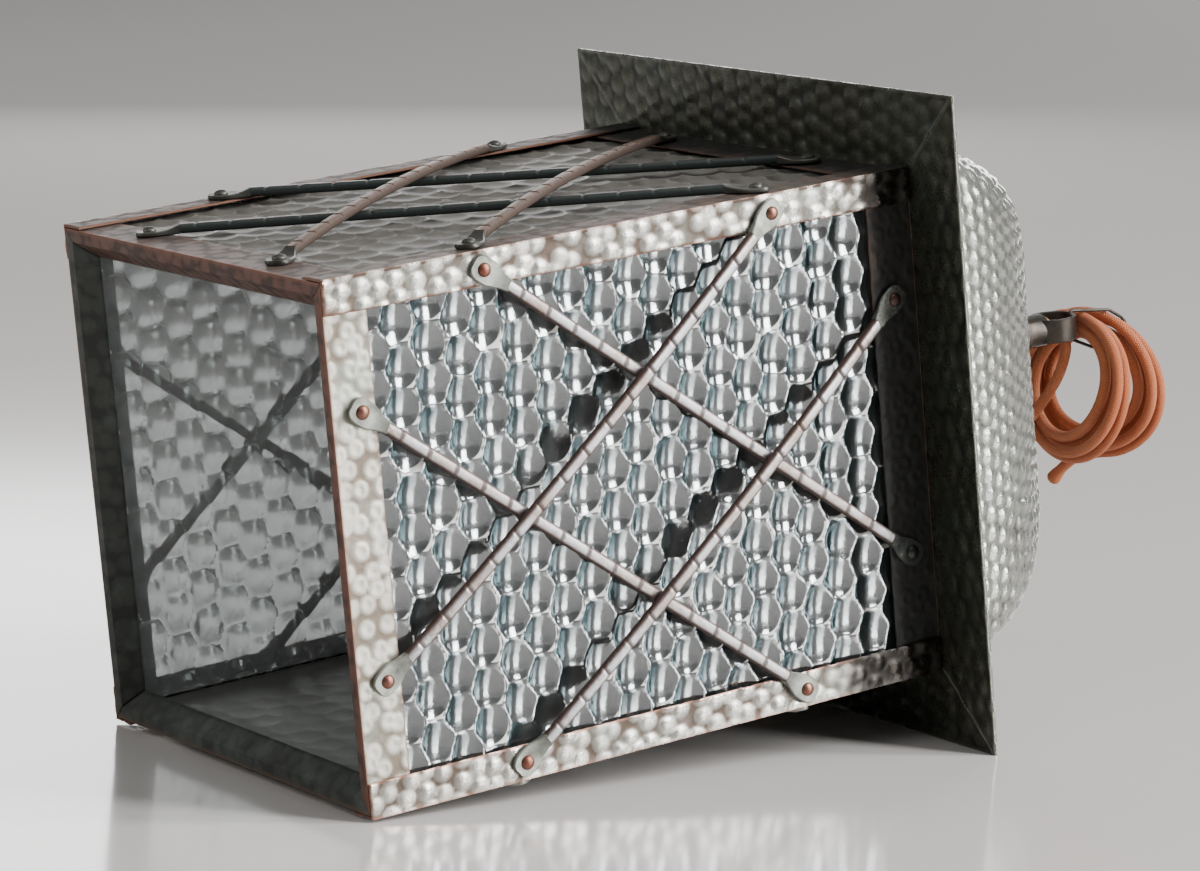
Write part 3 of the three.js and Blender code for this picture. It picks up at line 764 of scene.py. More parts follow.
def fit(name: str, mesh: Mesh, body: str, slot: str, *nodes: str, quarter: int = 0,
        finish: Finish | None = None, crisp: float = 40.0) -> Thing:
    """Places a mesh as a piece that stands for CAD nodes.

    Args:
        name: the piece's name.
        mesh: the mesh, in millimetres of the lantern or of one side.
        body: the body that it rides on.
        slot: the name of the piece's material slot; it is not used.
        nodes: the CAD nodes that it stands for.
        quarter: the side's number of quarter turns.
        finish: the finish, where the mesh has none yet.
        crisp: the angle in degrees past which an edge is shaded crisp.

    Returns:
        The piece.
    """
    if finish:
        mesh.materials.clear()
        mesh.materials.append(finish.build())
    mesh.transform(LIE.matrix(quarter))
    mesh.shade_smooth()
    mesh.set_sharp_from_angle(angle=math.radians(crisp))
    mesh.name = name
    piece = linked(name, mesh)
    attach(piece, body)
    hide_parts(*nodes)
    log.info("%s: %d faces", name, len(mesh.polygons))
    return piece


def dress(finish: Finish, *nodes: str) -> None:
    """Gives CAD nodes that stay a finish.

    Args:
        finish: the finish.
        nodes: the nodes' names.
    """
    for node in nodes:
        for material_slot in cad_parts[node].material_slots:
            material_slot.material = finish.build()
        log.info("%s: dressed", node)


class Grown(Graph):
    """A geometry node tree with named inputs, and what it makes of a mesh."""

    def __init__(self, name: str, numbers: dict[str, float], whole: dict[str, int],
                 materials: Sequence[str]) -> None:
        """Starts a tree.

        Args:
            name: the tree's name.
            numbers: the usual value of each input that is a number.
            whole: the same for whole numbers.
            materials: the inputs that are materials.
        """
        super().__init__(bpy.data.node_groups.new(name, "GeometryNodeTree"))
        interface = self.tree.interface
        for way in ("INPUT", "OUTPUT"):
            interface.new_socket("Geometry", in_out=way, socket_type="NodeSocketGeometry")
        self.identifiers = {}
        usual = {**numbers, **whole, **dict.fromkeys(materials)}
        for label, value in usual.items():
            kind = "Float" if label in numbers else "Int" if label in whole else "Material"
            socket = interface.new_socket(label, in_out="INPUT", socket_type=f"NodeSocket{kind}")
            if value is not None:
                socket.default_value = value
            self.identifiers[label] = socket.identifier
        self.wires = {o.name: Wire(self, o) for o in self.node("NodeGroupInput").outputs if o.name}

    def noted(self, name: str, kind: str = "FLOAT") -> Wire:
        """Reads what the mesh carries."""
        return self.wire("GeometryNodeInputNamedAttribute", {"Name": name}, data_type=kind)

    def stored(self, geometry: Wire, name: str, value: Wire, kind: str = "FLOAT") -> Wire:
        """Has the geometry carry a value at each point."""
        inputs = {0: geometry, "Name": name, "Value": value}
        return self.wire("GeometryNodeStoreNamedAttribute", inputs, data_type=kind, domain="POINT")

    def moved(self, geometry: Wire, offset: Wire) -> Wire:
        """Moves each point."""
        return self.wire("GeometryNodeSetPosition", {0: geometry, "Offset": offset})

    def painted(self, geometry: Wire, material: str) -> Wire:
        """Gives geometry the material of a named input."""
        return self.wire("GeometryNodeSetMaterial", {0: geometry, "Material": self.wires[material]})

    def chance(self, low: Any, high: Any, seed: Wire, **more: Wire) -> Wire:
        """Draws a number for each point or copy."""
        inputs = {2: low, 3: high, "Seed": seed, **more}
        return self.wire("FunctionNodeRandomValue", inputs, 1, data_type="FLOAT")

    def captured(self, geometry: Wire, value: Wire, kind: str) -> tuple[Wire, Wire]:
        """Keeps a value at each point before the geometry changes.

        Args:
            geometry: the geometry.
            value: the value.
            kind: the value's kind.

        Returns:
            The geometry and the kept value.
        """
        node = self.node("GeometryNodeCaptureAttribute", domain="POINT")
        node.capture_items.new(kind, "kept")
        for number, source in enumerate((geometry, value)):
            self.tree.links.new(source.socket, node.inputs[number])
        return Wire(self, node.outputs[0]), Wire(self, node.outputs[1])

    def close(self, result: Wire) -> None:
        """Ends the tree with smooth, realised geometry."""
        smooth = self.wire("GeometryNodeSetShadeSmooth", {0: result})
        self.node("NodeGroupOutput", {0: self.wire("GeometryNodeRealizeInstances", {0: smooth})})

    def apply(self, mesh: Mesh, values: dict[str, Any]) -> Mesh:
        """Runs the tree on a mesh.

        Args:
            mesh: what the tree starts from.
            values: the inputs that differ from their usual values.

        Returns:
            A plain mesh with the result.
        """
        bench = linked("bench", mesh)
        modifier = bench.modifiers.new("grown", "NODES")
        modifier.node_group = self.tree
        for label, value in values.items():
            modifier[self.identifiers[label]] = value
        return evaluated(bench)


class DimpleTree(Grown):
    """Presses rows of dimples into a sheet, and leaves "hollow" and the "offset" from the nearest centre."""

    def __init__(self) -> None:
        """Builds the tree."""
        super().__init__("dimples", {
            "along": 10.0, "across": 10.0, "jitter": 0.1, "crown": 0.6, "sink": 0.4, "reach": 0.62,
            "unevenness": 0.3, "dent": 0.0}, {"columns": 20, "rows": 20, "seed": 1}, ["finish"])
        w = self.wires
        pitches = self.combined(w["along"], w["across"], 1.0)
        read = self.vectors("DIVIDE", self.noted("beat", "FLOAT_VECTOR"), pitches)
        centres = self.staggered()
        sources = {0: centres, "Source Position": read}
        near = self.wire("GeometryNodeProximity", sources, "Distance", target_element="POINTS") / w["reach"]
        nearest = self.wire("GeometryNodeSampleNearest", {0: centres, "Sample Position": read})
        sampled = {0: centres, "Value": self.wire("GeometryNodeInputPosition"), "Index": nearest}
        centre = self.wire("GeometryNodeSampleIndex", sampled, data_type="FLOAT_VECTOR")
        uneven = self.chance(1.0 - w["unevenness"], 1.0, w["seed"] + 7.0, ID=nearest)
        hollow = (near * near).clamp()
        swell = 1.0 - hollow
        height = w["crown"] * (swell - w["dent"] * swell ** 4.0) * uneven - w["sink"]
        blow = {"Vector": self.noted("blow", "FLOAT_VECTOR"), "Scale": height}
        struck = self.moved(w["Geometry"], self.wire("ShaderNodeVectorMath", blow, operation="SCALE"))
        struck = self.stored(struck, "hollow", hollow)
        struck = self.stored(struck, "offset", self.vectors("SUBTRACT", read, centre), "FLOAT_VECTOR")
        self.close(self.painted(struck, "finish"))

    def staggered(self) -> Wire:
        """Lays the centres out in columns a pitch apart, every other one half a pitch lower.

        Returns:
            The centres.
        """
        w = self.wires
        grid = self.wire("GeometryNodeMeshGrid", {
            "Size X": w["columns"] - 1.0, "Size Y": w["rows"] - 1.0, "Vertices X": w["columns"],
            "Vertices Y": w["rows"]})
        column = self.maths("FLOOR", (self.wire("GeometryNodeInputIndex") + 0.5) / w["rows"])
        reach = w["jitter"]
        shift = self.wire("FunctionNodeRandomValue", {
            0: self.combined(reach * -1.0, reach * -1.0, 0.0), 1: self.combined(reach, reach, 0.0),
            "Seed": w["seed"]}, data_type="FLOAT_VECTOR")
        return self.moved(grid, self.vectors("ADD", self.combined(0.0, (column % 2.0) * 0.5, 0.0), shift))


class BarTree(Grown):
    """Draws a bar along a spine, chisels notches across its top, and sets rivets on its tabs.

    The mesh holds the tabs as faces, the spine as loose edges noted "spine", and the rivets'
    places as loose points noted "rivet".
    """

    top_from: float = 0.55
    worn_from: float = 0.88

    def __init__(self) -> None:
        """Builds the tree."""
        super().__init__("notched_bar", {
            "width": 4.8, "depth": 3.6, "corner": 1.3, "step": 0.5, "notch pitch": 13.5, "notch width": 1.7,
            "notch depth": 0.7, "rivet radius": 2.75, "rivet height": 1.6,
        }, {"seed": 1}, ["bar", "tab", "rivet"])
        spine, rest = self.parted(self.wires["Geometry"], "spine")
        rivets, tabs = self.parted(rest, "rivet")
        joined = self.node("GeometryNodeJoinGeometry")
        for part in (self.bar(spine), self.painted(tabs, "tab"), self.rivets(rivets)):
            self.tree.links.new(part.socket, joined.inputs[0])
        self.close(Wire(self, joined.outputs[0]))

    def parted(self, geometry: Wire, note: str) -> list[Wire]:
        """Parts off the points that carry a note.

        Args:
            geometry: the geometry.
            note: the note's name.

        Returns:
            The points that carry it, and the rest.
        """
        chosen = self.maths("GREATER_THAN", self.noted(note), 0.5)
        made = self.node("GeometryNodeSeparateGeometry", {0: geometry, "Selection": chosen}, domain="POINT")
        return [Wire(self, output) for output in made.outputs]

    def bar(self, spine: Wire) -> Wire:
        """Sweeps the bar's section along the spine and sinks a notch at each pitch.

        Args:
            spine: the spine's loose edges.

        Returns:
            The bar.
        """
        w = self.wires
        curve = self.wire("GeometryNodeMeshToCurve", {0: spine})
        curve = self.wire("GeometryNodeResampleCurve", {0: curve, "Length": w["step"]}, mode="LENGTH")
        curve = self.wire("GeometryNodeSetCurveNormal", {0: curve}, mode="Z_UP")
        length = self.wire("GeometryNodeSplineParameter", output="Length")
        curve, along = self.captured(curve, length, "FLOAT")
        section = self.wire("GeometryNodeCurvePrimitiveQuadrilateral", {0: w["width"], 1: w["depth"]},
                            mode="RECTANGLE")
        rounded = {0: section, "Radius": w["corner"], "Count": 3}
        section = self.wire("GeometryNodeFilletCurve", rounded, mode="POLY")
        section, drawn = self.captured(section, self.wire("GeometryNodeInputPosition"), "VECTOR")
        bar = self.wire("GeometryNodeCurveToMesh", {0: curve, 1: section, "Fill Caps": True})
        level = (self.split(drawn)[1] / w["depth"]) * -2.0
        top = self.maths("GREATER_THAN", level, self.top_from)
        off_centre = self.maths("ABSOLUTE", (along % w["notch pitch"]) - w["notch pitch"] * 0.5)
        notch = (1.0 - off_centre / (w["notch width"] * 0.5)).clamp() * top
        bar = self.moved(bar, self.combined(0.0, 0.0, notch * w["notch depth"] * -1.0))
        # Only the flat top takes the worn colour and the sides stay dark: partly wear, partly painted shade
        # on the sides.
        worn = ((level - self.worn_from) * 9.0).clamp() * (1.0 - notch)
        return self.painted(self.stored(bar, "top", worn), "bar")

    def rivets(self, places: Wire) -> Wire:
        """Sets a flattened round head at each rivet's place, each turned a little.

        Args:
            places: the rivets' places.

        Returns:
            The heads.
        """
        w = self.wires
        ball = {"Segments": 20, "Rings": 12, "Radius": w["rivet radius"]}
        head = self.wire("GeometryNodeMeshUVSphere", ball)
        squat = self.combined(1.0, 1.0, w["rivet height"] / w["rivet radius"])
        head = self.painted(self.wire("GeometryNodeTransform", {0: head, "Scale": squat}), "rivet")
        size, spin = self.chance(0.93, 1.04, w["seed"]), self.chance(0.0, 3.0, w["seed"])
        return self.wire("GeometryNodeInstanceOnPoints", {
            0: places, "Instance": head, "Rotation": self.combined(0.0, 0.0, spin),
            "Scale": self.combined(size, size, size)})


@lru_cache(maxsize=None)
def dimple_tree() -> DimpleTree:
    """Gives the one tree that all hammering and rolling share."""
    return DimpleTree()


@dataclass(frozen=True)
class Dimples:
    """One kind of hammering or rolling, in millimetres, in staggered rows."""

    along: float
    across: float
    crown: float
    sink: float
    jitter: float
    reach: float
    unevenness: float
    dent: float = 0.0

    def press(self, sheet: Sheet, span: Pair, seed: int, finish: Finish) -> Mesh:
        """Presses the dimples into a sheet.

        Args:
            sheet: the sheet.
            span: how far the pattern reaches along and across, in millimetres.
            seed: the seed of what varies.
            finish: the finish.

        Returns:
            The dimpled mesh.
        """
        pitches, spare = (self.along, self.across), 4
        columns, rows = (math.ceil(reach / pitch) + spare for reach, pitch in zip(span, pitches))
        return dimple_tree().apply(sheet.mesh(), {
            **asdict(self), "columns": columns, "rows": rows, "seed": seed, "finish": finish.build()})


@dataclass
class Studio:
    """Camera at the photographed angle, soft lights and a pale floor."""

    camera_at: Triple = (-1.057653, -1.56969, 0.414347)
    right: Triple = (0.836401, -0.548057, 0.008244)
    down: Triple = (-0.079195, -0.135717, -0.987577)
    forward: Triple = (0.542367, 0.825357, -0.156918)
    focal_pixels: float = 4818.66
    image_width: float = 1200.0
    sensor: float = 36.0
    sight: Pair = (0.05, 60.0)
    floor_half: float = 9.0
    middle: Triple = (0.0, 0.0, 0.13)
    room: Colour = (0.42, 0.41, 0.405)
    room_strength: float = 0.5
    lights: tuple = (
        ("window", (2.0, -3.1, 2.0), (0.85, 3.8), 310.0),
        ("side_window", (2.9, -2.2, 2.0), (0.6, 3.8), 190.0),
        ("low_window", (1.2, 2.3, 0.7), (1.1, 0.7), 13.0),
        ("high_window", (-0.6, -1.2, 3.2), (2.4, 2.4), 26.0),
        ("far_window", (-3.0, 1.6, 1.5), (1.6, 2.2), 34.0),
        ("back_window", (4.4, 3.05, 2.0), (1.3, 3.4), 120.0))

    def build(self) -> None:
        """Sets up the camera, the lights, the room and the floor."""
        self.set_camera()
        for light in self.lights:
            self.set_light(*light)
        world = bpy.data.worlds.new("room")
        world.use_nodes = True
        background = world.node_tree.nodes["Background"]
        background.inputs["Color"].default_value = (*self.room, 1.0)
        background.inputs["Strength"].default_value = self.room_strength
        bpy.context.scene.world = world
        half = self.floor_half
        corners = [(-half, -half, 0), (half, -half, 0), (half, half, 0), (-half, half, 0)]
        floor = make_mesh(corners, [[0, 1, 2, 3]])
        floor.materials.append(PaleFloor().build())
        linked("floor", floor)

    def set_camera(self) -> None:
        """Places the camera."""
        data = bpy.data.cameras.new("camera")
        data.sensor_width = self.sensor
        data.lens = self.focal_pixels * self.sensor / self.image_width
        data.clip_start, data.clip_end = self.sight
        camera = linked("camera", data)
        rows = [Vector(self.right), -Vector(self.down), -Vector(self.forward)]
        camera.matrix_world = Matrix.Translation(self.camera_at) @ Matrix(rows).transposed().to_4x4()
        bpy.context.scene.camera = camera

    def set_light(self, name: str, place: Triple, size: Pair, power: float) -> None:
        """Adds a soft oblong light that faces the lantern.

        Args:
            name: the light's name.
            place: where it stands, in metres.
            size: its width and height.
            power: its power in watts.
        """
        data = bpy.data.lights.new(name, "AREA")
        data.shape = "RECTANGLE"
        data.size, data.size_y = size
        data.energy = power
        light = linked(name, data)
        light.location = place
        light.rotation_euler = (Vector(self.middle) - Vector(place)).to_track_quat("-Z", "Y").to_euler()


@dataclass
class Flex:
    """Braided flex: out of the stem, through the eye, into a hank of turns, and a bare end."""

    diameter: float = 4.6
    start: float = 399.7
    ring_end: float = 412.56
    layers: int = 4
    turns_per_layer: int = 2
    first_turn: float = 0.5
    last_turn: float = 8.25
    radius: float = 32.0
    turn_pitch: float = 5.2
    turn_spread: float = 2.2
    layer_pitch: float = 5.2
    layer_spread: float = 0.8
    opening: float = 16.0
    open_at: float = math.radians(-35.0)
    heading: float = math.radians(14.7)
    drop: float = 28.8
    aside: float = 4.0
    ring_gap: float = 0.4
    steps: int = 24
    seat: float = 0.3
    lead_bend: float = 9.4
    lead_bend_turn: float = math.radians(98.0)
    lead_bend_points: int = 8
    point_step: float = 1.1
    end_swell: float = 0.35
    to_far_side: tuple = ((6.9, 1.9, -20.2), (3.2, 6.6, -29.9), (-0.1, 12.7, -38.4), (-1.5, 18.9, -44),
                          (-0.9, 23.6, -45.6), (0.1, 27.9, -45), (1.5, 31.5, -42.6), (2.8, 33.7, -38.8))
    droop: tuple = ((-7, -2.2, 0), (-14, -7.5, 0), (-20, -14, 0))
    finish: BraidedFabric = BraidedFabric()

    def at(self, across: float, up: float, depth: float) -> np.ndarray:
        """Gives a point of the hank's own frame in the lantern's millimetres.

        Args:
            across: how far right of the hank's middle it is.
            up: how far above it.
            depth: how far along the hank's axis.

        Returns:
            The point.
        """
        c, s = math.cos(LIE.tilt), math.sin(LIE.tilt)
        upright, level, near = np.array([s, 0, c]), np.array([c, 0, -s]), np.array([0, -1.0, 0])
        ch, sh = math.cos(self.heading), math.sin(self.heading)
        axis, right = level * ch - near * sh, near * ch + level * sh
        front = (self.layers - 1) / 2 * self.layer_pitch + self.diameter / 2
        centre = np.array([self.ring_end + self.ring_gap + front / ch, self.aside, 0.0]) - upright * self.drop
        return centre + right * across + upright * up + axis * depth

    def climb(self, turn: float, reversal: float) -> float:
        """Gives how far the spiral has climbed from one layer to the next, 0 to 1."""
        return eased((turn - (reversal * self.turns_per_layer + self.first_turn) + 0.25) / 0.5)

    def inset(self, turn: float) -> float:
        """Gives how many turns in from the outside the spiral is."""
        span = self.turns_per_layer
        return span - abs((turn - self.first_turn) % (2 * span) - span)

    def hank_point(self, turn: float) -> np.ndarray:
        """Gives a point of the hank's centreline.

        Args:
            turn: the number of turns.

        Returns:
            The point, in the lantern's millimetres.
        """
        angle = -FULL_TURN * turn
        spread = ((1 + math.cos(angle - self.open_at)) / 2) ** 2
        layer = -(self.layers - 1) / 2 + sum(self.climb(turn, k) for k in range(1, self.layers))
        half = self.climb(turn, self.layers / 2) - 0.5
        depth = layer * (self.layer_pitch + self.layer_spread * spread) + half * self.opening * spread
        radius = self.radius - self.inset(turn) * (self.turn_pitch + self.turn_spread * spread)
        return self.at(radius * math.cos(angle), radius * math.sin(angle), depth)

    def hank(self) -> list[np.ndarray]:
        """Gives the hank's centreline, with its straight ends.

        Returns:
            Its points, in the lantern's millimetres.
        """
        count = round((self.last_turn - self.first_turn) * self.steps)
        hank = [self.hank_point(turn) for turn in np.linspace(self.first_turn, self.last_turn, count + 1)]
        first = hank[0] - unit(hank[1] - hank[0]) * self.diameter
        return [first, *hank, hank[-1] + unit(hank[-1] - hank[-2]) * self.diameter]

    def tied_places(self, level: float, reach: float) -> list[Pair]:
        """Gives where the top of the hank passes the tie.

        Args:
            level: how far aside the tie lies.
            reach: how far to either side of it the turns are met.

        Returns:
            The places, as (x, z).
        """
        hank, middle, places = self.hank(), self.at(0, 0, 0), []
        for aside in (level - reach, level + reach):
            for a, b in zip(hank, hank[1:]):
                if (a[1] - aside) * (b[1] - aside) <= 0 and a[2] > middle[2]:
                    met = a + (b - a) * (aside - a[1]) / (b[1] - a[1])
                    places.append((met[0], met[2]))
        return places

    def route(self) -> np.ndarray:
        """Lays the whole centreline, from the stem to the bare end.

        Returns:
            Its points, in the lantern's millimetres.
        """
        first, *hank, last = self.hank()
        arriving, leaving = unit(hank[0] - first), unit(last - hank[-1])
        bend = [(self.lead_bend * math.sin(a), 0.0, self.lead_bend * (math.cos(a) - 1))
                for a in np.linspace(0, self.lead_bend_turn, self.lead_bend_points)]
        lead = [np.array([self.start + x, y, z]) for x, y, z in (*bend, *self.to_far_side)]
        lead += [first - arriving * (self.seat + self.diameter / 2), first]
        end = last + leaving * self.seat
        tail = [last, end + leaving * self.diameter / 2]
        tail += [self.at(*place) - self.at(0, 0, 0) + end for place in self.droop]
        return np.array(lead + hank + tail)

    def smooth(self, points: np.ndarray) -> np.ndarray:
        """Runs a centripetal curve through points, which doesn't overshoot where they crowd.

        Args:
            points: the points, in order.

        Returns:
            The curve's points.
        """
        padded = np.vstack([2 * points[0] - points[1], points, 2 * points[-1] - points[-2]])
        rounds = (((0, 1), (1, 2), (2, 3)), ((0, 2), (1, 3)), ((1, 2),))
        made = []
        for window in zip(padded, padded[1:], padded[2:], padded[3:]):
            gaps = [np.linalg.norm(b - a) for a, b in zip(window, window[1:])]
            knots = np.cumsum([0.0, *np.sqrt(gaps)])
            for t in np.linspace(knots[1], knots[2], max(2, round(gaps[1] / self.point_step) + 1))[:-1]:
                level = list(window)
                for spans in rounds:
                    ends = [(knots[i], knots[j]) for i, j in spans]
                    level = [(high - t) / (high - low) * a + (t - low) / (high - low) * b
                             for (low, high), a, b in zip(ends, level, level[1:])]
                made.append(level[0])
        return np.array([*made, points[-1]])

    def tube(self, points: np.ndarray, radius: float, sides: int = 20, closed: bool = False,
             swollen: float = 0.0) -> Mesh:
        """Sweeps a round section along points, with its own map of along and around.

        Args:
            points: the centreline.
            radius: the section's radius.
            sides: the steps round it.
            closed: True where the tube closes on itself.
            swollen: how much thicker its bare end is, as a share of the radius.

        Returns:
            The mesh.
        """
        lengths = run_along(points)
        end = ramped(lengths[-1] - lengths, self.diameter * 1.5)
        radii = radius * (1 + swollen * np.sin(math.pi * np.sqrt(end)))
        following = np.roll(points, -1, axis=0) - np.roll(points, 1, axis=0)
        if not closed:
            following[0], following[-1] = points[1] - points[0], points[-1] - points[-2]
        ways = following / np.linalg.norm(following, axis=1)[:, None]
        across = np.cross(ways[0], [0.31, 0.2, 0.93])
        angles = np.linspace(0, FULL_TURN, sides, endpoint=False)
        rings = []
        for point, way, reach in zip(points, ways, radii):
            across = unit(across - way * across.dot(way))
            over = np.cross(way, across)
            rings.append(point + reach * (np.outer(np.cos(angles), across) + np.outer(np.sin(angles), over)))
        index = np.arange(len(points) * sides).reshape(len(points), sides)
        below = np.roll(index, -1, axis=0) if closed else index[1:]
        upper = index if closed else index[:-1]
        faces = quads(upper, np.roll(upper, -1, 1), np.roll(below, -1, 1), below).tolist()
        if not closed:
            faces += [index[0, ::-1].tolist(), index[-1].tolist()]
        mesh = make_mesh(np.concatenate(rings), faces)
        self.unroll(mesh, lengths * MM, sides)
        return mesh

    @staticmethod
    def unroll(mesh: Mesh, lengths: np.ndarray, sides: int) -> None:
        """Gives a tube its map: metres along, and the share of the way round.

        Args:
            mesh: the tube.
            lengths: how far along each ring is, in metres.
            sides: the steps round each ring.
        """
        layer = mesh.uv_layers.new(name="route")
        corners, starts = np.zeros(len(mesh.loops), np.int32), np.zeros(len(mesh.polygons), np.int32)
        mesh.loops.foreach_get("vertex_index", corners)
        mesh.polygons.foreach_get("loop_start", starts)
        along, around = lengths[corners // sides], (corners % sides) / sides
        for start in starts[starts + 3 < len(corners)]:
            face = around[start:start + 4]
            if face.max() > 0.75 and face.min() < 0.25:
                face[face < 0.25] += 1.0
        layer.data.foreach_set("uv", np.stack([along, around], axis=1).astype(np.float32).ravel())

    def build(self, tie: Thing) -> None:
        """Args:
            tie: the tie that holds the hank; it is not used.
        """
        points = self.smooth(self.route())
        mesh = self.tube(points, self.diameter / 2, swollen=self.end_swell)
        piece = fit("flex", mesh, "ring", "fabric", "cord_lead", "cord_hank", "cord_tail", finish=self.finish,
                    crisp=75.0)
        path = [LIE.point(p) for p in points]


@dataclass
class Hanger:
    """Ring, collar and washer outside the crown, and the tie round the hank."""

    washer_radius: float = 17.0
    washer_from: float = 355.1
    washer_to: float = 356.6
    collar_from: float = 356.9
    collar_length: float = 29.0
    collar: tuple = ((11, 0), (11, 0.07), (10.2, 0.10), (10.1, 0.16), (8.7, 0.28), (7.3, 0.40), (6.6, 0.52),
                     (6.6, 0.76), (7.3, 0.84))
    collar_lip: float = 8.4
    collar_lip_length: float = 3.4
    eye_x: float = 402.30
    eye_radius: float = 8.75
    eye_wall: float = 1.5
    eye_half_width: float = 5.0
    shank_radius: float = 6.8
    shank_from: float = 386.2
    shank_to: float = 396.8
    core: float = 0.01
    tie_radius: float = 0.7
    tie_aside: float = -4.0
    tie_reach: float = 1.5
    tie_steps: int = 120
    bronze: SmoothMetal = SmoothMetal(
        "dark_bronze", (0.06, 0.047, 0.036), (0.018, 0.017, 0.015), 0.5, 0.28, 0.7)

    def build(self) -> Thing:
        """Makes the pieces.

        Returns:
            The tie.
        """
        washer = tube_profile(STEM_BORE, self.washer_radius, self.washer_from, self.washer_to)
        self.turn("crown_washer", washer)
        at, top = self.collar_from, self.collar_from + self.collar_length
        side = [(radius, at + self.collar_length * share) for radius, share in self.collar]
        lip = [(self.collar_lip, top - self.collar_lip_length), (self.collar_lip, top), (STEM_BORE, top)]
        self.turn("stem_collar", [(STEM_BORE, at), *side, *lip])
        self.ring()
        return self.tie()

    def turn(self, node: str, profile: Sequence[Pair]) -> None:
        """Turns a bronze piece that stands for one node."""
        fit(f"bronze_{node}", turned(profile, 96), "lantern", "dark_bronze", node, finish=self.bronze)

    def ring(self) -> None:
        """Makes the ring: a band with rolled edges, joined to a bored shank."""
        half = self.eye_half_width
        band = turned(tube_profile(self.eye_radius, self.eye_radius + self.eye_wall, -half, half), 96, 0.45)
        band.transform(Matrix.Translation((self.eye_x, 0, 0)) @ Matrix.Rotation(math.pi / 2, 4, "Y"))
        shank = turned(tube_profile(self.core, self.shank_radius, self.shank_from, self.shank_to), 72)
        bore = turned(tube_profile(self.core, STEM_BORE, self.shank_from - 1, self.shank_to + 1), 72, 0.0)
        mesh = self.carved(band, [("UNION", shank), ("DIFFERENCE", bore)])
        fit("ring_and_shank", mesh, "ring", "dark_bronze", "suspension_ring", finish=self.bronze, crisp=35.0)

    @staticmethod
    def carved(base: Mesh, cuts: Sequence[tuple[str, Mesh]]) -> Mesh:
        """Joins and cuts meshes.

        Args:
            base: the mesh to start from.
            cuts: each operation and the mesh that it uses, in order.

        Returns:
            The resulting mesh.
        """
        whole, tools = linked("whole", base), []
        for operation, mesh in cuts:
            tools.append(linked("tool", mesh))
            modifier = whole.modifiers.new(operation, "BOOLEAN")
            modifier.operation, modifier.object, modifier.solver = operation, tools[-1], "EXACT"
        return evaluated(whole, *tools)

    def tie(self) -> Thing:
        """Makes the wire tie, drawn close round the ring's end wall and the top of the hank.

        Returns:
            The tie.
        """
        flex = Flex()
        clear = flex.seat + self.tie_radius

        def wall(radius: float) -> float:
            """Gives how far out the ring's round wall stands where the tie passes."""
            return self.eye_x + math.sqrt(radius ** 2 - self.tie_aside ** 2)

        passed = flex.tied_places(self.tie_aside, self.tie_reach)
        held = [(x, z, flex.diameter / 2 + clear) for x, z in passed]
        for z in (-self.eye_half_width, self.eye_half_width):
            held.append((wall(self.eye_radius), z, wall(self.eye_radius) - wall(self.eye_radius - clear)))
            held.append((wall(self.eye_radius + self.eye_wall), z, clear))
        points = []
        for angle in np.linspace(0, FULL_TURN, self.tie_steps, endpoint=False):
            c, s = math.cos(angle), math.sin(angle)
            x, z, around = max(held, key=lambda place: place[0] * c + place[1] * s + place[2])
            points.append((x + around * c, self.tie_aside, z + around * s))
        mesh = flex.tube(np.array(points), self.tie_radius, 12, closed=True)
        return fit("wire_tie", mesh, "ring", "dark_bronze", "hank_tie", finish=self.bronze, crisp=75.0)


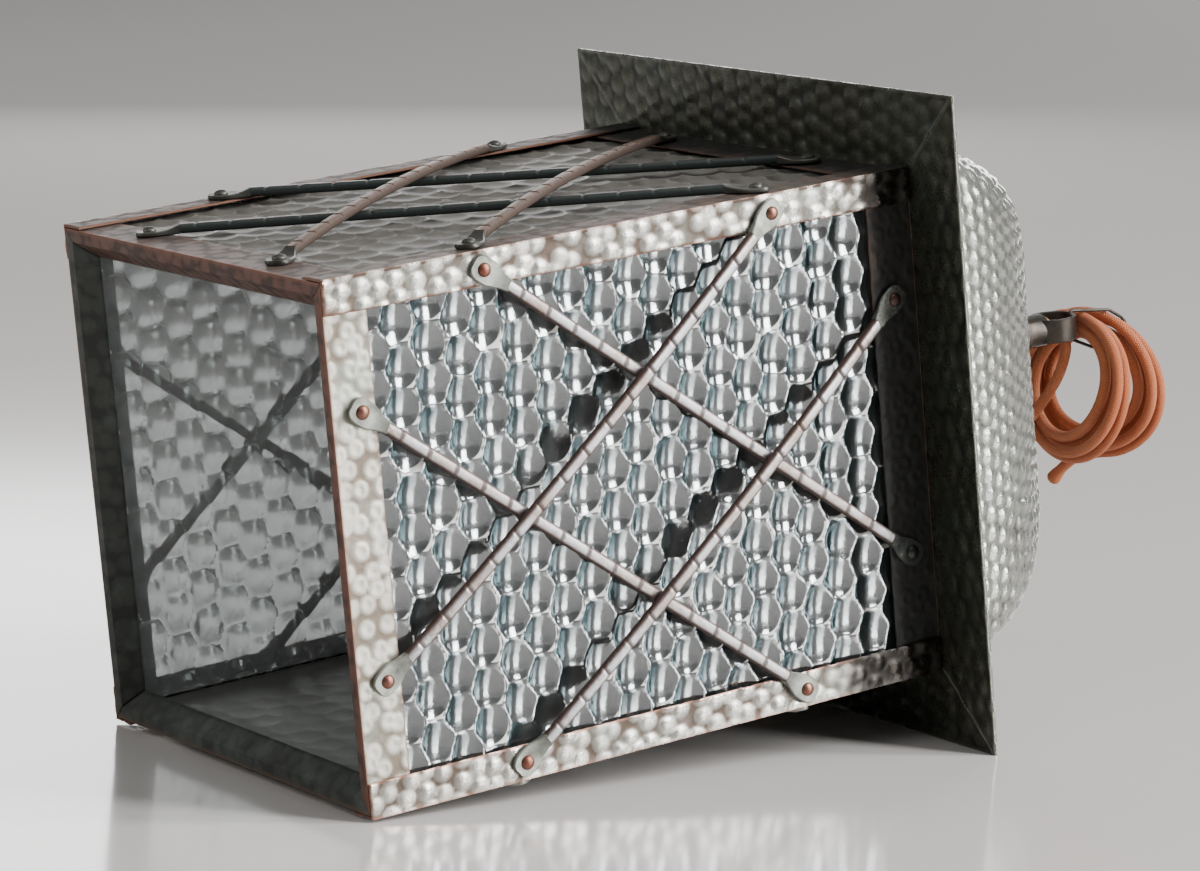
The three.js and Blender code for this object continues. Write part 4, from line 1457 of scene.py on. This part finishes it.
@dataclass
class StripFrame:
    """Corner posts and folded end rails of hammered strip, in a side's own frame."""

    sheet: float = 1.0
    post_leg: float = 13.5
    fold: float = 94.1
    open_leg: float = 18.3
    brim_leg: float = 20.4
    folded_leg: float = 9.6
    splay: float = math.radians(40.0)
    mitre_gap: float = 0.2
    step: float = 0.92
    fold_step: float = 1.6
    fold_fade: float = 2.5
    corner_fade: float = 2.2
    calm_top: float = 0.22
    calm_rail: float = 0.15
    bare_border: float = 1.1
    bare_corner: float = 0.8
    bare_fold: float = 1.0
    corner_shine: float = 0.8
    post_seed: int = 11
    rail_seed: int = 31
    post_names: tuple = ("back_top", "front_top", "front_bottom", "back_bottom")
    post_blows: Dimples = Dimples(7.6, 6.9, 1.15, 0.6, 0.26, 0.6, 0.5)
    rail_blows: Dimples = Dimples(7.4, 7.2, 0.9, 0.35, 0.3, 0.56, 0.5, 0.85)
    pale: HammeredMetal = HammeredMetal(
        "pale_strip", (0.46, 0.45, 0.41), (0.10, 0.07, 0.052), (0.24, 0.10, 0.06), (0.31, 0.36, 0.31),
        patina=0.42, blooming=0.45, brim_shadow_from=0.018, copper_to=-0.197)
    cream: HammeredMetal = HammeredMetal(
        "cream_strip", (0.52, 0.495, 0.43), (0.20, 0.16, 0.12), (0.20, 0.10, 0.065), (0.38, 0.42, 0.36),
        patina=0.40, blooming=0.8, crest_roughness=0.38, crest_metal=0.7, hollow_metal=0.4)
    # A darker copy of the strip: painted shade on the top side's faces and on the brim-end rails.
    dark: HammeredMetal = HammeredMetal(
        "painted_shade_strip", (0.115, 0.08, 0.066), (0.05, 0.036, 0.03), (0.20, 0.09, 0.055), (0.06, 0.07, 0.058),
        blooming=0.5, crest_roughness=0.52, hollow_roughness=0.62, crest_metal=0.3, hollow_metal=0.2,
        brim_shadow_from=0.02, brim_shadow=(0.012, 0.012, 0.0105))
    lip: HammeredMetal = HammeredMetal(
        "green_lip", (0.058, 0.063, 0.055), (0.03, 0.035, 0.031), (0.16, 0.09, 0.06), (0.12, 0.15, 0.13),
        patina=0.6, blooming=0.7, crest_roughness=0.46, crest_metal=0.45, hollow_metal=0.3)
    brown_lip: HammeredMetal = HammeredMetal(
        "brown_lip", (0.15, 0.07, 0.05), (0.06, 0.033, 0.026), (0.24, 0.10, 0.065), (0.08, 0.075, 0.06),
        blooming=0.4, crest_roughness=0.42, crest_metal=0.5, hollow_metal=0.3)

    def build(self) -> None:
        """Makes four posts and eight rails."""
        for side, post in zip(Side, self.post_names):
            self.post(side, post)
            self.rail(side, "open_end_rail", self.open_leg, False)
            self.rail(side, "brim_end_rail", self.brim_leg, True)

    def post(self, side: Side, post: str) -> None:
        """Makes one corner post, hammered on both faces.

        Args:
            side: the side whose frame it is made in.
            post: the corner's name.
        """
        leg, half, thin = self.post_leg, BODY_HALF, BODY_HALF - self.sheet
        s = np.concatenate([spaced(0, leg, self.step, NIP), spaced(leg, 2 * leg, self.step, NIP)[1:]])
        x = spaced(0, BODY_LENGTH, self.step, NIP)
        over, first, share = s[:, None], s[:, None] <= leg, (leg - self.sheet) / leg
        outer = gridded(x, np.where(first, half - leg + over, half),
                        np.where(first, half, half - (over - leg)))
        inner = gridded(x, np.where(first, half - leg + over * share, thin),
                        np.where(first, thin, thin - (over - leg) * share))
        on_top = {Side.TOP: s < leg, Side.FRONT: s > leg}.get(side, s < 0)
        strength = ramped(np.abs(s - leg), self.corner_fade) * np.where(on_top, self.calm_top, 1.0)
        ways = np.where(over < leg, [0.0, 0.0, 1.0], [0.0, 1.0, 0.0]) * strength[:, None]
        edge = 1 - ramped(inset_of(s, x), self.bare_border)
        edge = np.maximum(edge, (1 - ramped(np.abs(over - leg), self.bare_corner)) * self.corner_shine)
        sheet = Sheet(outer, inner, np.broadcast_to(ways[:, None, :], outer.shape),
                      gridded(x - BODY_LENGTH / 2, over - leg, 0.0), edge)
        mesh = self.post_blows.press(sheet, (BODY_LENGTH, 2 * leg), self.post_seed + side.value, self.pale)
        # Painted shade: the faces on the lantern's top side take the darker copy.
        self.darken(mesh, self.dark, lambda at: {
            Side.TOP: (at[:, 2] > thin - 0.3) & (at[:, 1] < half - 0.15),
            Side.FRONT: (at[:, 1] > thin - 0.3) & (at[:, 2] < half - 0.15)}.get(side, at[:, 2] < 0))
        fit(f"hammered_post_{post}", mesh, "lantern", "pale_hammered", f"corner_post_{post}",
            quarter=side.value)

    def section(self, leg: float) -> list[np.ndarray]:
        """Gives the folded section of a rail.

        Args:
            leg: the width of the outer leg.

        Returns:
            The outer line, the inner line, the way that each point is struck, and how strongly.
        """
        t, down, along = self.sheet, math.sin(self.splay), math.cos(self.splay)
        tip = np.array([t + self.folded_leg * along, self.fold - self.folded_leg * down])
        under = tip - t * np.array([down, along])
        lip = under[1] + under[0] * down / along
        outer = np.array([(leg, RAIL_TOP), (0, RAIL_TOP), (0, lip), under])
        inner = np.array([(leg, RAIL_TOP - t), (t, RAIL_TOP - t), (t, self.fold), tip])
        rows = []
        for k, way in enumerate([(0.0, 1.0), (-1.0, 0.0), (-down, -along)]):
            size = float(np.linalg.norm(outer[k + 1] - outer[k]))
            places = spaced(0, size, self.fold_step if k else self.step, NIP)
            for place in places[min(k, 1):]:
                met = [line[k] + (line[k + 1] - line[k]) * place / size for line in (outer, inner)]
                rows.append((*met, way, 0.0 if k else ramped(size - place, self.fold_fade)))
        return [np.array(column) for column in zip(*rows)]

    def rail(self, side: Side, node: str, leg: float, at_brim: bool) -> None:
        """Makes one end rail with mitred ends.

        Args:
            side: the side that it lies on.
            node: the rail's name, without the side.
            leg: the width of its outer leg.
            at_brim: True at the brim end.
        """
        outer_line, inner_line, ways, strength = self.section(leg)
        reach = RAIL_TOP - self.mitre_gap
        t = spaced(-1.0, 1.0, self.step / reach, NIP / reach)
        flip = -1.0 if at_brim else 1.0
        end = BODY_LENGTH if at_brim else 0.0

        def laid(line: np.ndarray) -> np.ndarray:
            """Runs a section line across the side, each point out to its own mitre."""
            x, z = line[:, :1], line[:, 1:]
            return gridded(end + flip * x, t * (z - self.mitre_gap), z)

        outer, inner = laid(outer_line), laid(inner_line)
        blow = gridded(ways[:, 0] * flip, 0.0, ways[:, 1]) * strength[:, None]
        blow = np.broadcast_to(blow[:, None, :], outer.shape)
        blow = blow * (self.calm_rail if side is Side.TOP and not at_brim else 1.0)
        run = run_along(outer_line)
        edge = 1 - ramped(np.minimum(np.minimum(run, run[-1] - run), np.abs(run - leg)), self.bare_fold)
        edge = np.broadcast_to((edge * (run <= leg + 0.5))[:, None], outer.shape[:2])
        beat = gridded(outer[..., 1], run[:, None] - leg / 2, 0.0)
        sheet = Sheet(outer, inner, blow, beat, edge, edge_inside=0.0)
        # Painted shade: the top side's rails and the brim-end rails take the darker copy.
        finish = self.dark if side is Side.TOP or at_brim else self.cream
        seed = self.rail_seed + side.value + 4 * at_brim
        mesh = self.rail_blows.press(sheet, (2 * RAIL_TOP, leg + 16), seed, finish)
        lip = self.brown_lip if side in (Side.TOP, Side.FRONT) and not at_brim else self.lip
        self.darken(mesh, lip, lambda at: (
            (np.abs(at[:, 0] - end) < 0.25) | (at[:, 2] < RAIL_TOP - self.sheet * 1.4)))
        name = f"{node}_{side.word}"
        fit(f"hammered_{name}", mesh, "lantern", "pale_hammered", name, quarter=side.value)

    @staticmethod
    def darken(mesh: Mesh, finish: HammeredMetal, chosen: Callable[[np.ndarray], np.ndarray]) -> None:
        """Gives some faces a darker finish.

        Args:
            mesh: the mesh.
            finish: the darker finish.
            chosen: says which faces, by their middles.
        """
        mesh.materials.append(finish.build())
        centres = np.zeros(len(mesh.polygons) * 3, np.float32)
        mesh.polygons.foreach_get("center", centres)
        mesh.polygons.foreach_set("material_index", chosen(centres.reshape(-1, 3)).astype(np.int32))


@dataclass
class Glazing:
    """Four panes of rolled glass with large dimples on their outer faces."""

    inner: float = 94.4
    outer: float = 97.4
    half: float = 94.1
    start: float = 1.3
    end: float = 259.3
    step: float = 1.15
    nip: float = 0.4
    inner_share: float = -0.25
    fade: float = 3.0
    bare_border: float = 1.5
    seed: int = 61
    dimples: Dimples = Dimples(12.4, 15.6, -1.4, -0.2, 0.1, 0.6, 0.25)
    finish: DimpledGlass = DimpledGlass()
    # A darker copy of the glass: painted shade for the top and bottom panes.
    shaded_glass: DimpledGlass = DimpledGlass(
        "painted_shade_glass", tint=(0.60, 0.60, 0.56), deep=(0.45, 0.46, 0.42), silver=(0.15, 0.142, 0.125),
        shade=(0.06, 0.058, 0.05), rim=(0.20, 0.19, 0.165), frost=(0.20, 0.21, 0.19), roughness=0.2,
        polish=0.5, metal=0.25, haze_inside=0.7, haze_outside=0.9)

    def build(self) -> None:
        """Makes the panes."""
        for side in Side:
            self.pane(side)

    def pane(self, side: Side) -> None:
        """Makes one pane.

        Args:
            side: the side that it closes.
        """
        y = spaced(-self.half, self.half, self.step, self.nip)
        x = spaced(self.start, self.end, self.step, self.nip)
        outer, inner = (gridded(x, y[:, None], z) for z in (self.outer, self.inner))
        rim = inset_of(y, x)
        beat = gridded(x - (self.start + self.end) / 2, y[:, None], 0.0)
        blow = gridded(0.0, 0.0, ramped(rim, self.fade))
        sheet = Sheet(outer, inner, blow, beat, 1 - ramped(rim, self.bare_border), self.inner_share)
        # The top and bottom panes take the darker copy, as painted shade.
        finish = self.shaded_glass if side in (Side.TOP, Side.BOTTOM) else self.finish
        span = (self.end - self.start, 2 * self.half)
        mesh = self.dimples.press(sheet, span, self.seed + side.value, finish)
        node = f"glass_pane_{side.word}"
        fit(f"dimpled_{node}", mesh, "lantern", "glass", node, quarter=side.value, crisp=60.0)


@dataclass
class Lattice:
    """Sixteen riveted bars, two flat and two bowed over them on each side."""

    bar_width: float = 4.8
    bar_depth: float = 3.6
    tab_length: float = 10.0
    tab_thickness: float = 1.8
    tab_chamfer: float = 0.45
    taper: float = 7.0
    overlap: float = 0.6
    bow_steps: int = 60
    post_rivet: float = 92.8
    long_rivet_x: float = 66.5
    end_rivet_x: float = 11.5
    end_rivet_spread: float = 50.0
    seat: float = 0.3
    outline: tuple = ((-5.0, 4.4), (-4.7, 6.2), (-4.0, 7.9), (-2.8, 9.2), (-1.2, 9.9), (0.5, 10.0),
                      (2.6, 9.9), (4.2, 9.3), (5.6, 8.3), (7.2, 7.0), (9.2, 5.7), (12.0, 4.8))
    bar: WornBar = WornBar("worn_bar", (0.40, 0.39, 0.40), (0.075, 0.042, 0.034), (0.27, 0.22, 0.19), 0.36)
    # Darker copies of the bar and tab finishes: painted shade for the top side.
    painted_shade_bar: WornBar = WornBar(
        "painted_shade_bar", (0.075, 0.08, 0.078), (0.03, 0.04, 0.037), (0.11, 0.08, 0.06), 0.42)
    rusty_shaded_bar: WornBar = WornBar(
        "rusty_shaded_bar", (0.20, 0.145, 0.115), (0.075, 0.05, 0.04), (0.25, 0.14, 0.095), 0.45)
    tab: SmoothMetal = SmoothMetal(
        "beaten_tab", (0.36, 0.38, 0.34), (0.13, 0.13, 0.11), 0.45, 0.38, 0.75, 0.03)
    painted_shade_tab: SmoothMetal = SmoothMetal(
        "painted_shade_tab", (0.12, 0.115, 0.10), (0.045, 0.05, 0.045), 0.45, 0.36, 0.75)
    rivet: SmoothMetal = SmoothMetal(
        "rivet_head", (0.24, 0.15, 0.12), (0.20, 0.058, 0.034), 0.6, 0.26, 0.95, 0.03)

    def build(self) -> None:
        """Makes the bars of every side."""
        tree = BarTree()
        low, arched = self.rivets(1.0), self.rivets(-1.0)
        rise = max(self.arch_rise(bar, low) for bar in arched)
        named = [("low_a", low[0], 0.0), ("low_b", low[1], 0.0),
                 ("arched_a", arched[0], rise), ("arched_b", arched[1], rise)]
        for side in Side:
            for number, (name, rivets, high) in enumerate(named):
                bar, tab, rivet = self.bar, self.tab, self.rivet
                # Painted shade: the top side's bars, tabs and rivets take the darker copies.
                if side is Side.TOP:
                    bar, tab, rivet = self.rusty_shaded_bar if high else self.painted_shade_bar, self.painted_shade_tab, self.painted_shade_tab
                mesh = tree.apply(self.base(np.array(rivets), high), {
                    "seed": 5 * side.value + number, "bar": bar.build(), "tab": tab.build(),
                    "rivet": rivet.build()})
                node = f"lattice_bar_{side.word}_{name}"
                fit(f"notched_{node}", mesh, "lantern", "copper", node, quarter=side.value)

    def rivets(self, way: float) -> list[tuple[Pair, Pair]]:
        """Gives each bar's two rivets, as (x, y) in a side's own frame."""
        far_post, far_end = BODY_LENGTH - self.long_rivet_x, BODY_LENGTH - self.end_rivet_x
        return [((self.long_rivet_x, way * self.post_rivet), (far_end, -way * self.end_rivet_spread)),
                ((self.end_rivet_x, way * self.end_rivet_spread), (far_post, -way * self.post_rivet))]

    def arch_rise(self, bar: tuple[Pair, Pair], lows: Sequence[tuple[Pair, Pair]]) -> float:
        """Gives how high a bowed bar rises, to clear the flat ones even at their nearer edges.

        Args:
            bar: the bowed bar's rivets.
            lows: the flat bars' rivets.

        Returns:
            The rise at its middle.
        """
        (px, py), (qx, qy) = bar
        ux, uy = qx - px, qy - py
        span, slant = math.hypot(ux, uy), abs(math.atan2(uy, ux))
        edge = self.bar_width / 2 / math.sin(2 * slant) + self.bar_width / 2 / math.tan(2 * slant)
        shares = []
        for (rx, ry), (sx, sy) in lows:
            vx, vy = sx - rx, sy - ry
            where = ((rx - px) * vy - (ry - py) * vx) / (ux * vy - uy * vx)
            near = 0.5 - abs(where - 0.5)
            share = (near * span - self.tab_length / 2 - edge) / (span - self.tab_length)
            shares.append(4 * share * (1 - share))
        return (self.bar_depth + self.seat) / min(shares)

    def base(self, bar: np.ndarray, rise: float) -> Mesh:
        """Makes the tabs, the spine and the rivets' places of one bar.

        Args:
            bar: its two rivets.
            rise: how high it bows.

        Returns:
            The mesh that the bar grows from.
        """
        span, run = float(np.linalg.norm(bar[1] - bar[0])), unit(bar[1] - bar[0])
        side = np.array([-run[1], run[0]])
        on_posts = [self.long_rivet_x <= x <= BODY_LENGTH - self.long_rivet_x for x, _ in bar]
        tops = [(BODY_HALF if on_post else RAIL_TOP) + self.seat for on_post in on_posts]
        half = self.tab_length / 2

        def low(t: float) -> float:
            """Gives the underside's height at a distance along the bar."""
            share = min(1.0, max(0.0, (t - half) / (span - 2 * half)))
            return tops[0] + (tops[1] - tops[0]) * share + rise * 4 * share * (1 - share)

        def spot(t: float, v: float, z: float) -> list[float]:
            """Gives a point at a distance along and across the bar."""
            return [*(bar[0] + run * t + side * v), z]

        points, faces = [], []
        for is_far in (False, True):
            rows = []
            for t, width in self.outline:
                grown = max(0.0, (t - half) / self.taper) ** 1.5
                thick = self.tab_thickness + (self.bar_depth - self.tab_thickness) * grown
                at = span - t if is_far else t
                z, w, e = low(at), width / 2, min(self.tab_chamfer, width / 6)
                right = [(w - e, z), (w, z + e), (w, z + thick - e), (w - e, z + thick)]
                ring = [(-w + e, z), *right, *((-v, height) for v, height in right[:0:-1])]
                rows.append([len(points) + k for k in range(8)])
                points += [spot(at, -v if is_far else v, height) for v, height in ring]
            for a, b in zip(rows, rows[1:]):
                faces += [[a[k - 1], b[k - 1], b[k], a[k]] for k in (1, 2, 3, 4, 5, 6, 7, 0)]
            faces += [rows[0], rows[-1][::-1]]
        tabs, start = len(points), half + self.taper - self.overlap
        stations = np.linspace(start, span - start, self.bow_steps if rise else 2)
        points += [spot(t, 0.0, low(t) + self.bar_depth / 2) for t in stations]
        edges = [[k, k + 1] for k in range(tabs, len(points) - 1)]
        points += [spot(t, 0.0, top + self.tab_thickness) for t, top in zip((0.0, span), tops)]
        counts = (tabs, len(stations), 2)
        return make_mesh(points, faces, {"spine": np.repeat([0.0, 1.0, 0.0], counts), "rivet": np.repeat(
            [0.0, 0.0, 1.0], counts), "top": np.full(len(points), 0.8)}, edges)


@dataclass
class Brim:
    """Four mitred panels of dark hammered sheet."""

    under: float = 260.9
    over: float = 262.5
    inner: float = 88.0
    outer: float = 129.3
    gap: float = 0.04
    seam: float = 0.06
    step: float = 1.3
    pattern_middle: float = 108.0
    pattern_width: float = 44.0
    mitre_share: float = 0.7
    fade: float = 1.6
    bare_border: float = 0.9
    seed: int = 81
    blows: Dimples = Dimples(9.2, 8.2, 1.05, 0.62, 0.16, 0.62, 0.35)
    finish: HammeredMetal = HammeredMetal(
        "dark_brim", (0.092, 0.096, 0.074), (0.02, 0.02, 0.016), (0.19, 0.20, 0.17), (0.05, 0.075, 0.06),
        patina=0.45, blooming=0.5, crest_roughness=0.27, hollow_roughness=0.5, crest_metal=0.8,
        hollow_metal=0.45)

    def build(self) -> None:
        """Makes the panels."""
        for side in Side:
            self.panel(side)

    def panel(self, side: Side) -> None:
        """Makes one panel, struck from its outer face so that both faces follow.

        Args:
            side: the side that it stands on.
        """
        w = spaced(self.inner, self.outer, self.step, NIP)[:, None]
        t = spaced(-1.0, 1.0, self.step / self.outer, NIP / self.outer)
        half = w - self.gap - self.seam * (w - self.inner) / (self.outer - self.inner)
        far, near = (gridded(x, half * t, w) for x in (self.over, self.under))
        rim = np.minimum(self.outer - w, (1 - np.abs(t)) * half * self.mitre_share)
        blow = gridded(-ramped(rim, self.fade), 0.0, 0.0)
        beat = gridded(half * t, w - self.pattern_middle, 0.0)
        sheet = Sheet(far, near, blow, beat, 1 - ramped(rim, self.bare_border), 1.0)
        span = (2 * self.outer, self.pattern_width)
        mesh = self.blows.press(sheet, span, self.seed + side.value, self.finish)
        node = f"brim_panel_{side.word}"
        fit(f"hammered_{node}", mesh, "lantern", "brim_metal", node, quarter=side.value)


@dataclass
class Dome:
    """The square cap that turns round towards its crown, hammered all over."""

    base: float = 262.8
    half: float = 105.0
    height: float = 92.0
    wall: float = 1.5
    squareness: float = 10.0
    rise: float = 1.95
    shoulder: float = 2.5
    round_crown: float = 0.4
    around: int = 600
    rings: int = 80
    rows_around: int = 98
    flat_crown: float = 0.8
    washer_edge: float = 17.5
    base_fade: float = 2.0
    crown_fade: float = 3.0
    bare_border: float = 1.2
    fine_steps: int = 4000
    column_pitch: float = 6.6
    seed: int = 97
    finish: HammeredMetal = HammeredMetal(
        "dome_sheet", (0.42, 0.43, 0.395), (0.065, 0.066, 0.052), (0.24, 0.15, 0.10), (0.22, 0.27, 0.23),
        patina=0.48, crest_roughness=0.18, hollow_roughness=0.4)

    def rows(self, inset: float) -> np.ndarray:
        """Gives the rings of points of one face.

        Args:
            inset: how far it lies inside the outer face.

        Returns:
            One row of points for each ring.
        """
        half = self.half - inset
        last = math.acos((STEM_BORE / half) ** (self.shoulder / 2))
        made = []
        for i in range(self.rings + 1):
            share = math.cos(last * i / self.rings) ** (2 / self.shoulder)
            from_hole = (share - STEM_BORE / half) / (self.round_crown - STEM_BORE / half)
            square = 2 + (self.squareness - 2) * eased(from_hole)
            x = self.base + (self.height - inset) * (1 - share ** self.shoulder) ** (1 / self.rise)
            made.append(self.square_ring(x, half * share, square))
        return np.array(made)

    def square_ring(self, x: float, half: float, squareness: float) -> np.ndarray:
        """Gives one ring of a rounded square, its points evenly apart.

        Args:
            x: how far along the lantern it lies.
            half: half its width.
            squareness: 2 for a circle, and more towards a square.

        Returns:
            Its points.
        """
        fine = np.linspace(0, FULL_TURN, self.fine_steps + 1)
        waves = (np.cos(fine), np.sin(fine))
        y, z = (half * np.sign(wave) * np.abs(wave) ** (2 / squareness) for wave in waves)
        run = run_along(np.stack([y, z], axis=-1))
        places = np.linspace(0, run[-1], self.around, endpoint=False)
        return gridded(x, np.interp(places, run, y), np.interp(places, run, z))

    def build(self) -> None:
        """Makes the dome."""
        outer, inner = self.rows(0.0), self.rows(self.wall)
        ways = np.cross(np.gradient(outer, axis=0), np.roll(outer, -1, axis=1) - np.roll(outer, 1, axis=1))
        ways /= np.maximum(np.linalg.norm(ways, axis=-1, keepdims=True), 1e-9)
        from_middle = outer - np.array([self.base, 0, 0])
        ways *= np.where((from_middle * ways).sum(-1, keepdims=True) < 0, -1.0, 1.0)
        from_crown = np.hypot(outer[..., 1], outer[..., 2]) - self.washer_edge
        fade = ramped(from_middle[..., 0], self.base_fade) * ramped(from_crown, self.crown_fade)
        girth = float(np.linalg.norm(np.roll(outer[0], -1, axis=0) - outer[0], axis=1).sum())
        rise = run_along(outer[:, 0])
        round_it = np.linspace(-0.5, 0.5, self.around, endpoint=False) * girth
        on_side = gridded((rise - rise[-1] / 2)[:, None], round_it, 0.0)
        on_crown = gridded(outer[..., 1], outer[..., 2], 0.0)
        beat = np.where(ways[..., :1] > self.flat_crown, on_crown, on_side)
        edge = 1 - ramped(from_middle[..., 0], self.bare_border)
        sheet = Sheet(outer, inner, ways * fade[..., None], beat, edge, 1.0, is_round=True)
        blows = Dimples(self.column_pitch, girth / self.rows_around, 1.6, 0.95, 0.08, 0.6, 0.2)
        mesh = blows.press(sheet, (2.2 * self.half, girth), self.seed, self.finish)
        fit("hammered_dome", mesh, "lantern", "dome_metal", "dome")


@dataclass
class Lampholder:
    """Brass lampholder and what clamps it, inside the dome."""

    cover_top: float = 345.59
    cover_neck: float = 341.59
    cover_shoulder: float = 332.59
    cover_end: float = 325.59
    cover_radius: float = 17.0
    cover_wall: float = 2.0
    cover_ribs: tuple = (72, 0.35)
    shell_end: float = 295.59
    shell_top: float = 331.59
    shell_outer: float = 14.7
    shell_wall: float = 2.2
    shell_steps: int = 180
    flange_x: float = 321.59
    flange_radius: float = 17.3
    flange_thickness: float = 1.6
    ring_from: float = 316.29
    ring_to: float = 321.29
    ring_radius: float = 22.0
    ring_ribs: tuple = (60, 0.5)
    slot_width: float = 2.6
    slot_depth: float = 7.0
    slot_turn: float = math.radians(20.0)
    lead_from: float = 329.9
    lead_to: float = 399.38
    lead_radius: float = 2.28
    ease: float = 0.3
    brass: SmoothMetal = SmoothMetal("satin_brass", (0.66, 0.48, 0.20), (0.30, 0.19, 0.08), 0.4, 0.26)

    def build(self) -> None:
        """Makes the turned pieces and dresses the small ones."""
        r, w, neck, shoulder = self.cover_radius, self.cover_wall, self.cover_neck, self.cover_shoulder
        self.turn("lampholder_cover", "lantern", [
            (STEM_BORE, self.cover_top), (10.0, self.cover_top), (10.0, neck), (11.8, neck - 1.6),
            (14.4, neck - 4.0), (16.3, neck - 6.8), (r, shoulder), (r, self.cover_end),
            (r - w, self.cover_end), (r - w, shoulder), (14.2, shoulder + 2.6), (12.2, shoulder + 5.2),
            (8.0, neck - 1.0), (STEM_BORE, neck - 1.0)], self.cover_ribs)
        inner, outer, low, high = self.shell_outer + 0.3, self.ring_radius, self.ring_from, self.ring_to
        self.turn("shade_ring", "shade_ring", [
            (inner, low), (outer - 0.8, low), (outer, low + 0.9), (outer, high - 0.9), (outer - 0.8, high),
            (inner, high)], self.ring_ribs)
        self.shell()
        dress(self.brass, "stem", "inner_washer", "lock_nut", "contact_plunger_front", "contact_plunger_back")
        dress(GlazedWare(), "contact_block", "stem_bush")
        dress(Dome().finish, "dome_curb")
        lead = Flex().tube(gridded(np.linspace(self.lead_from, self.lead_to, 60), 0.0, 0.0), self.lead_radius)
        fit("inner_flex", lead, "lantern", "fabric", "inner_lead", finish=BraidedFabric(), crisp=75.0)

    def turn(self, node: str, body: str, profile: Sequence[Pair], waves: tuple[int, float]) -> None:
        """Turns a ribbed brass piece that stands for one node."""
        mesh = turned(profile, 360, self.ease, waves)
        fit(f"brass_{node}", mesh, body, "brass", node, finish=self.brass)

    def shell(self) -> None:
        """Makes the shell: a flanged tube slotted at its mouth for a bulb's two pins."""
        steps, mouth = self.shell_steps, self.shell_end + self.slot_depth
        angles = np.linspace(0, FULL_TURN, steps, endpoint=False)
        xs = np.concatenate([spaced(self.shell_end, mouth, 0.5), spaced(mouth, self.shell_top, 1.5)[1:]])
        y, z = self.shell_outer * np.cos(angles), self.shell_outer * np.sin(angles)
        faces = []
        for i in range(len(xs) - 1):
            for j in range(steps):
                if not self.slotted((xs[i] + xs[i + 1]) / 2, angles[j] + math.pi / steps):
                    a, b, k = i * steps, (i + 1) * steps, (j + 1) % steps
                    faces.append([a + j, a + k, b + k, b + j])
        shell = linked("shell", make_mesh(gridded(xs[:, None], y, z).reshape(-1, 3), faces))
        wall = shell.modifiers.new("wall", "SOLIDIFY")
        wall.thickness, wall.offset = self.shell_wall, -1.0
        flange = turned(tube_profile(self.shell_outer - 0.5, self.flange_radius, self.flange_x,
                                     self.flange_x + self.flange_thickness), 120, self.ease)
        for name, mesh in (("brass_lampholder_shell", evaluated(shell)), ("brass_shell_flange", flange)):
            fit(name, mesh, "lantern", "brass", "lampholder_shell", finish=self.brass)

    def slotted(self, x: float, angle: float) -> bool:
        """Says whether a spot of the shell lies in one of its two hooked slots.

        Args:
            x: how far along the lantern the spot is.
            angle: its angle round the axis.

        Returns:
            True in a slot.
        """
        deep, half = x - self.shell_end, self.slot_width / 2 / self.shell_outer
        for start in (math.pi / 2, 3 * math.pi / 2):
            turn = (angle - start + math.pi) % FULL_TURN - math.pi
            is_hooked = self.slot_depth - self.slot_width < deep and -half < turn < self.slot_turn + half
            if deep < self.slot_depth and (abs(turn) < half or is_hooked):
                return True
        return False


def main() -> None:
    """Builds the studio and the lantern's pieces, camera and flex first."""
    logging.basicConfig(level=logging.INFO, format="%(message)s")
    Studio().build()
    tie = Hanger().build()
    Flex().build(tie)
    for part in (StripFrame(), Glazing(), Lattice(), Brim(), Dome(), Lampholder()):
        part.build()


if __name__ == "__main__":
    main()
